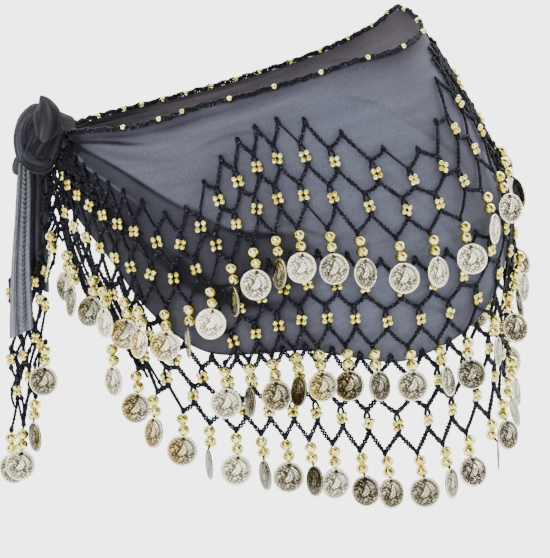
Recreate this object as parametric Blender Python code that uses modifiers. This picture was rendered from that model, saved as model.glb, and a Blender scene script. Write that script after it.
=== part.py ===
"""Hip scarf for belly dance, worn and tied at one hip: a sheer triangular cloth wrapped round a
general hip form, with three sewn-on tiers of crocheted net that carry beads and coins, a crocheted
edging at the waist, a knot, and two free ends that hang from it.

Metres, +Z up. -Y is the side that is seen with the knot on the left. The origin is the middle of the
waist opening. The part has no faces in contact: what lies on the cloth stands clear of it.
"""
import math

import bmesh
import bpy
import numpy as np

MM = 0.001

# Driving sizes
CLOTH_WALL = 1.0 * MM
NET_GAP = 0.9 * MM            # from the cloth's outer face to the net
NET_WALL = 1.6 * MM
COIN_RADIUS = 11.0 * MM
COIN_WALL = 1.4 * MM
BEAD_RADIUS = 4.2 * MM
FLOWER_HALF = 3.8 * MM        # half width of a four-bead cluster
PLATE_ABOVE = 9.5 * MM        # the upright stitches above a cluster's middle, and below it
PLATE_BELOW = 6.5 * MM
STRAND = 2.6 * MM             # width of a crocheted chain
FOOT_LIFT = 2.0 * MM          # the feet of a net stand clear of the top of the next one
EDGING_RADIUS = 1.6 * MM
SEAM_GAP = 0.3 * MM
PLEAT_DEPTH = 2.6 * MM        # folds where the cloth gathers into the knot
HEM_WAVE = 1.6 * MM

# The hip form, from above the waist to below the fringe: each row is one level
FORM_COLUMNS = ("height", "centre_x", "half_width", "half_depth")
FORM = np.array([
    [-340, 40, 149, 102],
    [-260, 39, 153, 105],
    [-200, 38, 157, 108],
    [-150, 37, 161, 111],
    [-100, 36, 164, 111],
    [-50, 29, 157, 104],
    [0, 17, 143, 93],
    [40, 4, 131, 86],
    [80, -6, 120, 80],
]) * MM

# Sizes down from the waist edge, by share of the way round from the knot: over the seen side to the
# far hip (0.5), and over the hidden side back to the knot (1). A tier's top is where its first
# crocheted points are sewn on, and its foot is where its coins hang.
ROUND_COLUMNS = ("share", "edge", "hem", "upper_top", "upper_foot", "middle_top", "middle_foot",
                 "lower_top", "lower_foot")
ROUND = np.array([
    [.00, -37, 36, 6, 40, 20, 30, 24, 40],
    [.04, -35, 58, 14, 82, 50, 76, 54, 92],
    [.08, -32, 92, 34, 106, 96, 140, 97, 145],
    [.11, -30, 126, 46, 121, 132, 168, 124, 184],
    [.15, -23, 162, 66, 126, 140, 172, 165, 214],
    [.19, -13, 174, 40, 103, 120, 177, 175, 231],
    [.23, -6, 178, 22, 91, 110, 175, 175, 242],
    [.27, 2, 192, 24, 99, 118, 182, 190, 259],
    [.31, 10, 204, 44, 114, 132, 192, 201, 270],
    [.35, 18, 205, 64, 119, 137, 198, 203, 273],
    [.39, 23, 199, 58, 114, 134, 199, 200, 271],
    [.43, 30, 184, 30, 98, 120, 188, 190, 266],
    [.47, 38, 170, 16, 92, 112, 176, 180, 256],
    [.51, 46, 156, 12, 90, 107, 168, 172, 246],
    [.55, 54, 142, 10, 86, 102, 156, 162, 226],
    [.60, 41, 122, 10, 76, 92, 136, 142, 190],
    [.68, 20, 101, 9, 68, 80, 114, 118, 160],
    [.75, 4, 88, 8, 62, 72, 100, 104, 140],
    [.85, -16, 66, 8, 52, 58, 70, 64, 112],
    [.93, -28, 50, 8, 40, 40, 50, 48, 82],
    [1.0, -37, 36, 6, 22, 20, 30, 24, 40],
])
LEAN = math.radians(10) / (190 * MM)   # the cloth's grain turns round the form as it goes down

# Net columns: share of the way round at some column numbers, crowded near the knot
COLUMN_STEPS = np.array([
    [0, .012], [7, .112], [12, .204], [14, .241], [16, .287], [18, .350], [20, .420], [22, .480],
    [23, .508], [37, .922], [38, .952],
])
TIERS = {                              # first and last column, and the columns of the table
    "net_upper": (1, 37, "upper"),
    "net_middle": (10, 29, "middle"),
    "net_lower_near": (5, 22, "lower"),
    "net_lower_far": (23, 35, "lower"),
}

# One pendant, down from the foot of its net: drop, half width, wall and distance out, in mm
PENDANT = np.array([
    [5.8, 4.2, 8.0, 2.3],     # first bead, at its widest
    [9.7, 1.8, 3.6, 4.5],
    [13.6, 4.2, 8.0, 2.3],    # second bead
    [18.2, 1.8, 1.4, 5.0],    # where the coin is strung
    [23.4, 10.2, 1.4, 5.0],
    [34.0, 10.2, 1.4, 5.0],
    [40.0, 4.6, 1.4, 5.0],
]) * MM
FIRST_COIN_ROW = 3
TWIST = math.radians(34)
EDGE_ON = math.radians(62)
FACE_ON = math.radians(14)
OVERLAP = 5.6 * MM            # how far every second coin stands out where they overlap

# The knot's lumps: centre, radii (mm), tilt about Y (degrees)
KNOT_LUMPS = {
    "core": ((-142, -30, -37), (14, 14, 16), 8),
    "petal": ((-137, -40, -25), (12, 7, 9.5), 35),
    "left_loop": ((-156, -27, -39), (7, 10, 19), 4),
    "lower_turn": ((-150, -29, -54), (10, 11, 10), -8),
    "flap": ((-161, -27, -59), (4.5, 4.5, 6.5), 20),
}

# The free ends: top and bottom of the middle line, widths at both, pleat depth, folds
TAILS = {
    "tail_front": ((-157, -33, -58), (-160.5, -34, -184), 8, 17, 2.4, 3),
    "tail_back": ((-147, -19, -58), (-148, -20, -152), 17, 15, 2.4, 3),
}
TAIL_NET_X = (-168, -159, -150, -142.5)
TAIL_NET_FOOT = (-253, -249, -228, -188)
TAIL_NET_TOP = (-132, -130, -128, -126)
TAIL_NET_OUT = (0, 9, 2, 0)            # how much further out each pendant hangs
TAIL_NET_Y = -23.5
TAIL_NET_ROWS = 4
KNOT_ROOM = 0.5               # how much larger the room for the knot is than its lumps

CLOTH_COLUMNS = 56
CLOTH_ROWS = 10
EDGING_STEPS = 60
EDGING_START = .07
EDGING_END = .965


def curve_through(x, xs, ys):
    """The value at x on the smooth cubic curve that passes through a table's rows."""
    slope = np.gradient(ys, xs)
    x = np.clip(np.asarray(x, float), xs[0], xs[-1])
    i = np.clip(np.searchsorted(xs, x) - 1, 0, len(xs) - 2)
    step = xs[i + 1] - xs[i]
    t = (x - xs[i]) / step
    return ((1 + 2 * t) * (1 - t) ** 2 * ys[i] + t * (1 - t) ** 2 * step * slope[i]
            + t * t * (3 - 2 * t) * ys[i + 1] + t * t * (t - 1) * step * slope[i + 1])


def form_point(angle, height, out):
    """A point on the hip form at that angle and height, moved outwards along its level normal."""
    centre, width, depth = (curve_through(height, FORM[:, 0], FORM[:, c]) for c in (1, 2, 3))
    nx, ny = np.cos(angle) / width, np.sin(angle) / depth
    length = np.hypot(nx, ny)
    return np.array([centre + width * np.cos(angle) + out * nx / length,
                     depth * np.sin(angle) + out * ny / length, height])


def arc_table():
    """Angles round the form from the knot, and the share of the fullest hip's girth up to each."""
    angles = np.linspace(math.pi, 3 * math.pi, 721)
    _, _, width, depth = FORM[4]
    steps = np.hypot(width * np.diff(np.cos(angles)), depth * np.diff(np.sin(angles)))
    lengths = np.concatenate([[0], np.cumsum(steps)])
    return angles, lengths / lengths[-1], lengths[-1]


ANGLES, SHARES, GIRTH = arc_table()


def size_at(share, column):
    """A size from the table of the way round, in metres."""
    c = ROUND_COLUMNS.index(column)
    return curve_through(share, ROUND[:, 0], ROUND[:, c]) * MM


def gather(share):
    """How strongly the cloth is pleated there: 1 at the knot, fading out on both sides of it."""
    away = np.minimum(share, 1 - share)
    return np.exp(-(away / 0.07) ** 2)


def fold(share, down):
    """How far the cloth stands out there: pleats that run out from the knot, and a wavy hem."""
    height = size_at(share, "hem")
    pleats = PLEAT_DEPTH * gather(share) * np.cos(2 * math.pi * 3 * down / height)
    hem = HEM_WAVE * np.clip(down / height, 0, 1) ** 3 * np.sin(2 * math.pi * 10 * share)
    return pleats + hem * (1 - gather(share))


def cloth_point(share, down, out=0.0, pleated=True):
    """A point of the worn cloth: share of the way round, distance below the edge, distance out."""
    start = np.interp(share % 1.0, SHARES, ANGLES)
    angle = start - LEAN * down * math.sin(start)
    height = size_at(share, "edge") - down
    if pleated:
        stand = fold(share, down)
    else:
        hem = HEM_WAVE * min(1, down / size_at(share, "hem")) ** 3
        smooth = 1 - gather(share)
        stand = PLEAT_DEPTH * (1 - smooth) + hem * smooth * math.sin(2 * math.pi * 10 * share)
    return form_point(angle, height, out + stand)


def material(name, colour, roughness, metallic=0.0):
    """A plain Principled material."""
    made = bpy.data.materials.new(name)
    made.use_nodes = True
    shader = made.node_tree.nodes["Principled BSDF"]
    shader.inputs["Base Color"].default_value = (*colour, 1)
    shader.inputs["Roughness"].default_value = roughness
    shader.inputs["Metallic"].default_value = metallic
    return made


def solid_object(name, points, faces, finish, collection):
    """A mesh object with its faces turned the same way round."""
    mesh = bpy.data.meshes.new(name)
    mesh.from_pydata([tuple(p) for p in points], [], faces)
    shell = bmesh.new()
    shell.from_mesh(mesh)
    bmesh.ops.recalc_face_normals(shell, faces=shell.faces)
    shell.to_mesh(mesh)
    shell.free()
    mesh.shade_smooth()
    mesh.materials.append(finish)
    made = bpy.data.objects.new(name, mesh)
    collection.objects.link(made)
    return made


def face_outwards(made, middle):
    """Turns an open sheet over if it faces the middle of the part."""
    mesh = made.data
    lean = sum((p.center.x - middle[0]) * p.normal.x + (p.center.y - middle[1]) * p.normal.y
               for p in mesh.polygons)
    if lean < 0:
        mesh.flip_normals()


def thicken(made, wall, offset, shares=None):
    """Solidify, with a share of the wall for each point where the wall isn't even."""
    shell = made.modifiers.new("wall", "SOLIDIFY")
    shell.thickness = wall
    shell.offset = offset
    if shares is not None:
        group = made.vertex_groups.new(name="wall")
        for index, share in enumerate(shares):
            group.add([index], float(share), "REPLACE")
        shell.vertex_group = group.name
        shell.thickness_vertex_group = 0.0


def cloth_wrap(finish, collection):
    """The worn cloth: one closed band round the form, narrow and pleated where it meets the knot."""
    points, faces = [], []
    for i in range(CLOTH_COLUMNS):
        share = i / CLOTH_COLUMNS
        height = size_at(share, "hem")
        for j in range(CLOTH_ROWS + 1):
            points.append(cloth_point(share, height * j / CLOTH_ROWS))
    rows = CLOTH_ROWS + 1
    for i in range(CLOTH_COLUMNS):
        after = (i + 1) % CLOTH_COLUMNS
        for j in range(CLOTH_ROWS):
            faces.append((i * rows + j, i * rows + j + 1, after * rows + j + 1, after * rows + j))
    made = solid_object("cloth_wrap", points, faces, finish, collection)
    face_outwards(made, (FORM[4][1], 0))
    thicken(made, CLOTH_WALL, -1)
    return made


class Net:
    """A crocheted net as one sheet of strips: plates where bead clusters sit, in rows that alternate
    between the columns and half way between them, joined by slanting chains."""

    def __init__(self, place):
        self.place = place            # (column, across, down, out) to a point
        self.points = []
        self.walls = []
        self.faces = []

    def point(self, column, across, down, out=0.0, wall=NET_WALL):
        self.points.append(self.place(column, across, down, out))
        self.walls.append(wall)
        return len(self.points) - 1

    def peak(self, column, down):
        """The sewn-on point where two chains meet: its outer and inner corner."""
        return self.point(column, 0, down), self.point(column, 0, down + STRAND * 1.5)

    def plate(self, column, top, foot):
        """A bead cluster's six corners, clockwise from its top."""
        half, slope = FLOWER_HALF, FLOWER_HALF * 0.75
        return [self.point(column, 0, top), self.point(column, half, top + slope),
                self.point(column, half, foot - slope), self.point(column, 0, foot),
                self.point(column, -half, foot - slope), self.point(column, -half, top + slope)]

    def chain(self, a, b, c, d, reach=1.0):
        """A strip from the pair a, b to the pair c, d, or part of the way to them."""
        if reach < 1.0:
            ends = []
            for near, far in ((b, c), (a, d)):
                self.points.append(self.points[near] + (self.points[far] - self.points[near]) * reach)
                self.walls.append(NET_WALL)
                ends.append(len(self.points) - 1)
            c, d = ends
        self.faces.append((a, b, c, d))

    def pendant(self, left, right, column, down, twist, extra=0.0):
        """Two beads and a coin, hung from the pair left, right."""
        root = self.place(column, 0, down, 0.0)
        outward = self.place(column, 0, down, 10 * MM) - root
        outward[2] = 0
        outward /= np.linalg.norm(outward)
        along = np.array([-outward[1], outward[0], 0.0])
        for row, (drop, half, wall, out) in enumerate(PENDANT):
            centre = self.place(column, 0, down + drop, 0.0) + outward * (out + extra)
            centre[:2] += outward[:2] * max(0.0, (root - centre)[:2] @ outward[:2])
            turn = twist if row >= FIRST_COIN_ROW else 0.0
            if turn:
                centre = centre + outward * COIN_RADIUS * abs(math.sin(turn)) * 0.9
            across = along * math.cos(turn) + outward * math.sin(turn)
            ends = []
            for side in (-half, half):
                self.points.append(centre + across * side)
                self.walls.append(wall)
                ends.append(len(self.points) - 1)
            self.faces.append((left, right, ends[1], ends[0]))
            left, right = ends

    def build(self, name, finish, collection, middle):
        used = sorted({i for face in self.faces for i in face})
        again = {old: new for new, old in enumerate(used)}
        points = [self.points[i] for i in used]
        faces = [tuple(again[i] for i in face) for face in self.faces]
        made = solid_object(name, points, faces, finish, collection)
        face_outwards(made, middle)
        widest = max(self.walls)
        thicken(made, widest, 1, [self.walls[i] / widest for i in used])
        return made


def row_levels(top, foot, rows):
    """Where the plates of each row start and end between a net's top and foot, from the top down."""
    drop = foot - top
    centres = (0.33, 0.70) if rows == 2 else [0.16 + 0.205 * r for r in range(rows)]
    above = min(PLATE_ABOVE, (0.14 if rows == 2 else 0.07) * drop)
    below = min(PLATE_BELOW, (0.10 if rows == 2 else 0.055) * drop)
    return [(top + drop * c - above, top + drop * c + below) for c in centres]


def net(name, place, columns, top_of, foot_of, finish, collection, middle,
        rows=2, next_column=None, twist_of=None, extra_of=None):
    """A whole net between its first and last column. next_column continues it to just short of the
    net beside it."""
    made = Net(place)
    last = columns[-1]
    plates = {}

    def plate_at(column, row):
        if (column, row) not in plates:
            start, end = row_levels(top_of(column), foot_of(column), rows)[row]
            plates[column, row] = made.plate(column, start, end)
            if column <= last + (0.5 if next_column is not None else 0.0):
                made.faces.append(tuple(plates[column, row]))
        return plates[column, row]

    def foot_at(column):
        down = foot_of(column)
        inner = made.point(column, 0, down - STRAND * 1.4, FOOT_LIFT)
        left = made.point(column, -STRAND * 0.5, down, FOOT_LIFT)
        right = made.point(column, STRAND * 0.5, down, FOOT_LIFT)
        return inner, left, right

    feet = {column: foot_at(column) for column in columns}
    for column in columns:
        right_column = column + 1 if column < last else next_column
        plate_at(column, 0)
        if right_column is None:
            continue
        reach = 1.0 if right_column <= last else 0.94
        half = column + 0.5
        apex, inner = made.peak(half, top_of(half))
        here, there = plate_at(column, 0), plate_at(right_column, 0)
        made.chain(here[0], here[1], inner, apex)
        made.chain(apex, inner, there[5], there[0], reach)
        for row in range(1, rows):
            if row % 2:
                mid = plate_at(half, row)
                left, right = plate_at(column, row - 1), plate_at(right_column, row - 1)
                made.chain(left[3], left[2], mid[0], mid[5])
                made.chain(mid[0], mid[1], right[3], right[4], reach)
            else:
                left, right = plate_at(column, row), plate_at(right_column, row)
                mid = plate_at(half, row - 1)
                made.chain(mid[4], mid[3], left[1], left[0])
                made.chain(mid[3], mid[2], right[0], right[5], reach)
        mid = plate_at(half, rows - 1)
        inner, left, right = feet[column]
        made.chain(mid[4], mid[3], right, inner)
        if reach < 1.0:
            inner, left, right = foot_at(right_column)
        else:
            inner, left, right = feet[right_column]
        made.chain(mid[3], mid[2], inner, left, reach)
    for column in columns:
        inner, left, right = feet[column]
        made.faces.append((inner, right, left))
        twist = twist_of(column) if twist_of else 0.0
        extra = extra_of(column) if extra_of else 0.0
        made.pendant(left, right, column, foot_of(column), twist, extra)
    return made.build(name, finish, collection, middle)


def share_of(column):
    """Share of the way round at a column number, half numbers included."""
    return float(np.interp(column, COLUMN_STEPS[:, 0], COLUMN_STEPS[:, 1]))


def worn_place(column, across, down, out):
    """A net's point on the worn cloth, clear of its outer face."""
    share = share_of(column) + across / GIRTH
    return cloth_point(share, down, NET_GAP + out, pleated=False)


def crowding(column):
    """1 where the columns crowd beside the knot on the seen side, 0 where they are evenly spread."""
    return float(np.clip((0.135 - share_of(column)) / 0.03, 0, 1))


def coin_twist(column, tier):
    """Each coin hangs turned its own way: alternating sides, by an amount that wanders. Where columns
    are close, every second coin hangs nearly edge-on, and beside the knot the coins overlap instead."""
    side = 1 if column % 2 else -1
    free = TWIST * (0.75 + 0.25 * math.sin(2.4 * column + 1.7 * tier))
    pitch = share_of(column + 0.5) - share_of(column - 0.5)
    tight = float(np.clip((0.0235 - pitch) / 0.003, 0, 1))
    turn = free + ((EDGE_ON if column % 2 else FACE_ON) - free) * tight
    return side * (turn + (FACE_ON - turn) * crowding(column))


def worn_nets(finish, collection):
    """The three sewn-on tiers. The lower one, which hangs below the hem, is in two halves."""
    for tier, (name, (first, last, words)) in enumerate(TIERS.items()):
        net(name, worn_place, list(range(first, last + 1)),
            lambda c, w=words: float(size_at(share_of(c), w + "_top")),
            lambda c, w=words: float(size_at(share_of(c), w + "_foot")),
            finish, collection, (FORM[4][1], 0),
            next_column=last + 1 if name == "net_lower_near" else None,
            twist_of=lambda c, t=tier: coin_twist(c, t),
            extra_of=lambda c: OVERLAP * crowding(c) * (c % 2))


def tail_net(finish, collection):
    """The gathered end of the net that hangs with the tails: narrow columns of unequal length."""
    at = np.arange(len(TAIL_NET_X))

    def level(table, column):
        return float(-np.interp(column, at, table) * MM)

    def place(column, across, down, out):
        x = np.interp(column, at, TAIL_NET_X) * MM + across * 0.62
        return np.array([x, TAIL_NET_Y * MM - out, -down])

    return net("tail_net", place, list(range(len(TAIL_NET_X))),
               lambda c: level(TAIL_NET_TOP, c), lambda c: level(TAIL_NET_FOOT, c),
               finish, collection, (TAIL_NET_X[1] * MM, 0), rows=TAIL_NET_ROWS,
               twist_of=lambda c: math.radians((20, -12, 62, 15)[c]),
               extra_of=lambda c: TAIL_NET_OUT[c] * MM)


def tube(name, centres, radius, sides, finish, collection):
    """A cord as a curve object with filled caps."""
    curve = bpy.data.curves.new(name, "CURVE")
    curve.dimensions = "3D"
    curve.bevel_depth = radius
    curve.bevel_resolution = sides // 2 - 2
    curve.use_fill_caps = True
    spline = curve.splines.new("POLY")
    spline.points.add(len(centres) - 1)
    for point, centre in zip(spline.points, centres):
        point.co = (*centre, 1)
    curve.materials.append(finish)
    made = bpy.data.objects.new(name, curve)
    collection.objects.link(made)
    return made


def waist_edging(finish, collection):
    """The crocheted cord on the cloth's waist edge, from one side of the knot to the other."""
    lift = EDGING_RADIUS * 1.1 + SEAM_GAP
    centres = []
    for i in range(EDGING_STEPS + 1):
        share = EDGING_START + (EDGING_END - EDGING_START) * i / EDGING_STEPS
        centres.append(cloth_point(share, 0.0, -CLOTH_WALL / 2) + np.array([0, 0, lift]))
    return tube("waist_edging", centres, EDGING_RADIUS, 4, finish, collection)


def lump(name, centre, radii, tilt):
    """A soft lump of the knot: a sphere pulled to its radii, with shallow folds round it."""
    shell = bmesh.new()
    bmesh.ops.create_uvsphere(shell, u_segments=14, v_segments=9, radius=1.0)
    turn = math.radians(tilt)
    for vert in shell.verts:
        x, y, z = vert.co
        around = math.atan2(y, x)
        swell = 1 + 0.07 * math.cos(5 * around + 2.5 * z) * (1 - z * z)
        x, y, z = (x * swell * radii[0], y * swell * radii[1], z * radii[2])
        vert.co = ((x * math.cos(turn) + z * math.sin(turn) + centre[0]) * MM,
                   (y + centre[1]) * MM, (z * math.cos(turn) - x * math.sin(turn) + centre[2]) * MM)
    mesh = bpy.data.meshes.new(name)
    shell.to_mesh(mesh)
    shell.free()
    return bpy.data.objects.new(name, mesh)


def combine(made, other, operation):
    """A Boolean that stays on the object."""
    cut = made.modifiers.new(operation.lower() + "_" + other.name, "BOOLEAN")
    cut.operation = operation
    cut.solver = "EXACT"
    cut.object = other


def cloth_clearance(cutters):
    """The worn cloth's place with a little room round it, for cutting what is tied over it."""
    room = SEAM_GAP + 0.1 * MM
    points, faces = [], []
    columns, rows = 13, CLOTH_ROWS + 3
    for i in range(columns):
        share = (i - columns // 2) / CLOTH_COLUMNS
        height = size_at(share % 1.0, "hem")
        for out in (room, -CLOTH_WALL - 45 * MM):
            for j in range(rows):
                down = np.clip(height * (j - 1) / CLOTH_ROWS, -3 * MM, height + 3 * MM)
                inside = min(max(down, 0.0), height)
                place = cloth_point(share % 1.0, inside, out)
                place[2] += inside - down
                points.append(place)
    block = 2 * rows
    for i in range(columns - 1):
        ring, after = i * block, (i + 1) * block
        for j in range(rows - 1):
            faces.append((ring + j, ring + j + 1, after + j + 1, after + j))
            faces.append((ring + rows + j + 1, ring + rows + j, after + rows + j, after + rows + j + 1))
        faces.append((ring, after, after + rows, ring + rows))
        faces.append((ring + rows - 1, ring + block - 1, after + block - 1, after + rows - 1))
    for ring, order in ((0, 1), ((columns - 1) * block, -1)):
        for j in range(rows - 1):
            cap = (ring + j, ring + rows + j, ring + rows + j + 1, ring + j + 1)
            faces.append(cap[::order])
    made = solid_object("cloth_room", points, faces, None, cutters)
    made.hide_render = True
    made.display_type = "WIRE"
    return made


def knot(finish, collection, cutters):
    """The tied ends: soft lumps joined into one body, cut back from the cloth that they are tied over."""
    made = lump("knot", *KNOT_LUMPS["core"])
    made.data.materials.append(finish)
    collection.objects.link(made)
    for name in list(KNOT_LUMPS)[1:]:
        other = lump("knot_" + name, *KNOT_LUMPS[name])
        cutters.objects.link(other)
        other.hide_render = True
        other.display_type = "WIRE"
        combine(made, other, "UNION")
    combine(made, cloth_clearance(cutters), "DIFFERENCE")


def knot_room(cutters):
    """The knot's lumps, a little larger, as cutters for the free ends that leave it."""
    rooms = []
    for name, (centre, radii, tilt) in KNOT_LUMPS.items():
        room = lump("room_" + name, centre, tuple(r + KNOT_ROOM for r in radii), tilt)
        room.hide_render = True
        room.display_type = "WIRE"
        cutters.objects.link(room)
        rooms.append(room)
    return rooms


def tail(name, top, foot, wide_top, wide_foot, depth, folds, finish, collection):
    """A free end: a strip that hangs in zigzag pleats, wider towards its foot."""
    stations, across = 9, 2 * folds + 1
    points, faces = [], []
    for s in range(stations):
        t = s / (stations - 1)
        wide = wide_top + (wide_foot - wide_top) * t ** 0.8
        for a in range(across):
            x = top[0] + (foot[0] - top[0]) * t + wide * (a / (across - 1) - 0.5)
            y = top[1] + (foot[1] - top[1]) * t + depth * (-1) ** a * (0.7 + 0.3 * t)
            z = top[2] + (foot[2] - top[2]) * t
            points.append(np.array([x, y, z]) * MM)
    for s in range(stations - 1):
        for a in range(across - 1):
            corner = s * across + a
            faces.append((corner, corner + 1, corner + across + 1, corner + across))
    made = solid_object(name, points, faces, finish, collection)
    thicken(made, CLOTH_WALL, 0)
    return made


def clear_scene():
    for item in list(bpy.data.objects):
        bpy.data.objects.remove(item)


def main():
    clear_scene()
    parts = bpy.data.collections.new("hip_scarf")
    cutters = bpy.data.collections.new("cutters")
    bpy.context.scene.collection.children.link(parts)
    bpy.context.scene.collection.children.link(cutters)
    cloth = material("sheer_cloth", (0.045, 0.048, 0.07), 0.75)
    yarn = material("crochet_yarn", (0.012, 0.012, 0.022), 0.8)
    cloth_wrap(cloth, parts)
    worn_nets(yarn, parts)
    tail_net(yarn, parts)
    waist_edging(yarn, parts)
    knot(cloth, parts, cutters)
    rooms = knot_room(cutters)
    for name, sizes in TAILS.items():
        made = tail(name, *sizes, cloth, parts)
        for room in rooms:
            combine(made, room, "DIFFERENCE")


main()
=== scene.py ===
"""A belly dance hip scarf, worn with no wearer: sheer cloth round the hips, knotted at one side, with
three tiers of crocheted net that carry gold beads and stamped coins. It is built in the order in which
it is sewn and tied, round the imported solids. Lengths are in metres."""
import bpy
import numpy as np
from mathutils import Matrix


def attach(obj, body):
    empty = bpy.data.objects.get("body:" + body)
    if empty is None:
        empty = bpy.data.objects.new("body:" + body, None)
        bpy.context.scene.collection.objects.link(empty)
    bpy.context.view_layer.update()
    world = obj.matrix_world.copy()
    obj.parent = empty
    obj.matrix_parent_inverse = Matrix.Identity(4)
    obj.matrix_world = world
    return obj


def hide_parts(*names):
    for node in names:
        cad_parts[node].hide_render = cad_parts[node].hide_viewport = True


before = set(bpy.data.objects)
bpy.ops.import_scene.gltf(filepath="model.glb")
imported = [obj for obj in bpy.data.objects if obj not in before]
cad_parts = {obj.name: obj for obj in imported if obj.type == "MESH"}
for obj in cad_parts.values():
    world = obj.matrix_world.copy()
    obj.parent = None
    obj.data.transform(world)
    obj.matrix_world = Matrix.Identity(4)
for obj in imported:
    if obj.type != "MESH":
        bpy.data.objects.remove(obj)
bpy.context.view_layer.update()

# Studio
# A pale floor well below the hanging scarf, and surroundings that are bright in rings round the line of
# sight: behind the scarf, beside it and round the camera, with darker ones between them, so that metal
# has something to mirror. Three soft lamps light the seen side, the right side and the hidden side.
BACKDROP_GLOW = 4.2
SURROUNDINGS = (                # 0 straight behind the scarf, 1 behind the camera; how bright it is there
    (0, .40), (.30, 4.8), (.52, .14), (.58, .9), (.65, .8), (.70, .08), (.88, .14), (.945, .6), (.968, 3.6),
)
LAMPS = (                       # name, place, what it points at, size, watts
    ("key", (-1.1, -2.2, 1.5), (0.0, 0, -.1), 0.7, 40),
    ("side", (2.4, -1.0, .6), (0.05, 0, -.1), 0.5, 12),
    ("back", (0.4, 2.0, 1.4), (0, 0, -.1), 1.2, 22),
)


def new_finish(name):
    """A new material, with its nodes, its links and its main shader."""
    made = bpy.data.materials.new(name)
    made.use_nodes = True
    return made, made.node_tree.nodes, made.node_tree.links, made.node_tree.nodes["Principled BSDF"]


def placed(name, data):
    """A new object in the scene for a mesh, a lamp or the camera."""
    made = bpy.data.objects.new(name, data)
    bpy.context.scene.collection.objects.link(made)
    return made


def colour_stops(ramp, *stops):
    """Gives a colour ramp its stops, each a place and a colour, in order from the first to the last."""
    elements = ramp.color_ramp.elements
    for number, (place, colour) in ((0, stops[0]), (1, stops[-1])):
        elements[number].position = place
        elements[number].color = (*colour, 1)
    for place, colour in stops[1:-1]:
        elements.new(place).color = (*colour, 1)


def seen_as_white(nodes, links, lit):
    """Plain white glow where the camera looks straight at it, and the given shader to all other rays."""
    sight = nodes.new("ShaderNodeLightPath")
    glow = nodes.new("ShaderNodeEmission")
    glow.inputs["Strength"].default_value = BACKDROP_GLOW
    both = nodes.new("ShaderNodeMixShader")
    links.new(sight.outputs["Is Camera Ray"], both.inputs["Fac"])
    links.new(lit, both.inputs[1])
    links.new(glow.outputs[0], both.inputs[2])
    return both.outputs[0]


bpy.ops.mesh.primitive_plane_add(size=40, location=(0, 0, -0.95))
floor = bpy.context.object
floor.name = "floor"
floor_white, floor_nodes, floor_links, floor_shader = new_finish("floor_white")
floor_shader.inputs["Base Color"].default_value = (.93, .93, .93, 1)
floor_shader.inputs["Roughness"].default_value = 0.9
floor_links.new(seen_as_white(floor_nodes, floor_links, floor_shader.outputs[0]),
                floor_nodes["Material Output"].inputs["Surface"])
floor.data.materials.append(floor_white)

studio = bpy.data.worlds.new("studio")
studio.use_nodes = True
sky, sky_links = studio.node_tree.nodes, studio.node_tree.links
direction = sky.new("ShaderNodeTexCoord")
axes = sky.new("ShaderNodeSeparateXYZ")
sky_links.new(direction.outputs["Generated"], axes.inputs[0])
front = sky.new("ShaderNodeMapRange")
front.inputs["From Min"].default_value = 1
front.inputs["From Max"].default_value = -1
sky_links.new(axes.outputs["Y"], front.inputs["Value"])
boxes = sky.new("ShaderNodeValToRGB")
colour_stops(boxes, *((place, (white, white, white * 1.01)) for place, white in SURROUNDINGS),
             (1.0, (1, 1, 1)))
sky_links.new(front.outputs["Result"], boxes.inputs["Fac"])
upward = sky.new("ShaderNodeMapRange")
upward.inputs["From Min"].default_value = -.6
upward.inputs["To Min"].default_value = 0.7
upward.inputs["To Max"].default_value = 1.9
sky_links.new(axes.outputs["Z"], upward.inputs["Value"])
sky_links.new(boxes.outputs["Color"], sky["Background"].inputs["Color"])
sky_links.new(upward.outputs["Result"], sky["Background"].inputs["Strength"])
sky_links.new(seen_as_white(sky, sky_links, sky["Background"].outputs[0]),
              sky["World Output"].inputs["Surface"])
bpy.context.scene.world = studio

for lamp_name, lamp_place, lamp_aim, lamp_size, lamp_watts in LAMPS:
    lamp = bpy.data.lights.new(lamp_name, "AREA")
    lamp.energy = lamp_watts
    lamp.size = lamp_size
    lamp_object = placed(lamp_name, lamp)
    away = np.array(lamp_place) - np.array(lamp_aim)
    lamp_object.location = lamp_place
    lamp_object.rotation_euler = (np.arctan2(np.hypot(away[0], away[1]), away[2]), 0,
                                  np.arctan2(away[0], -away[1]))

# The camera stands 2.4 m away and a little above the waist edge, and looks down by six degrees.
camera = bpy.data.cameras.new("camera")
camera.sensor_width = 36
camera.lens = 209.2
camera.clip_end = 100
camera_object = placed("camera", camera)
camera_object.location = (0.0259, -2.3869, 0.1065)
camera_object.rotation_euler = (np.radians(84), 0, 0)
bpy.context.scene.camera = camera_object

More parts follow.
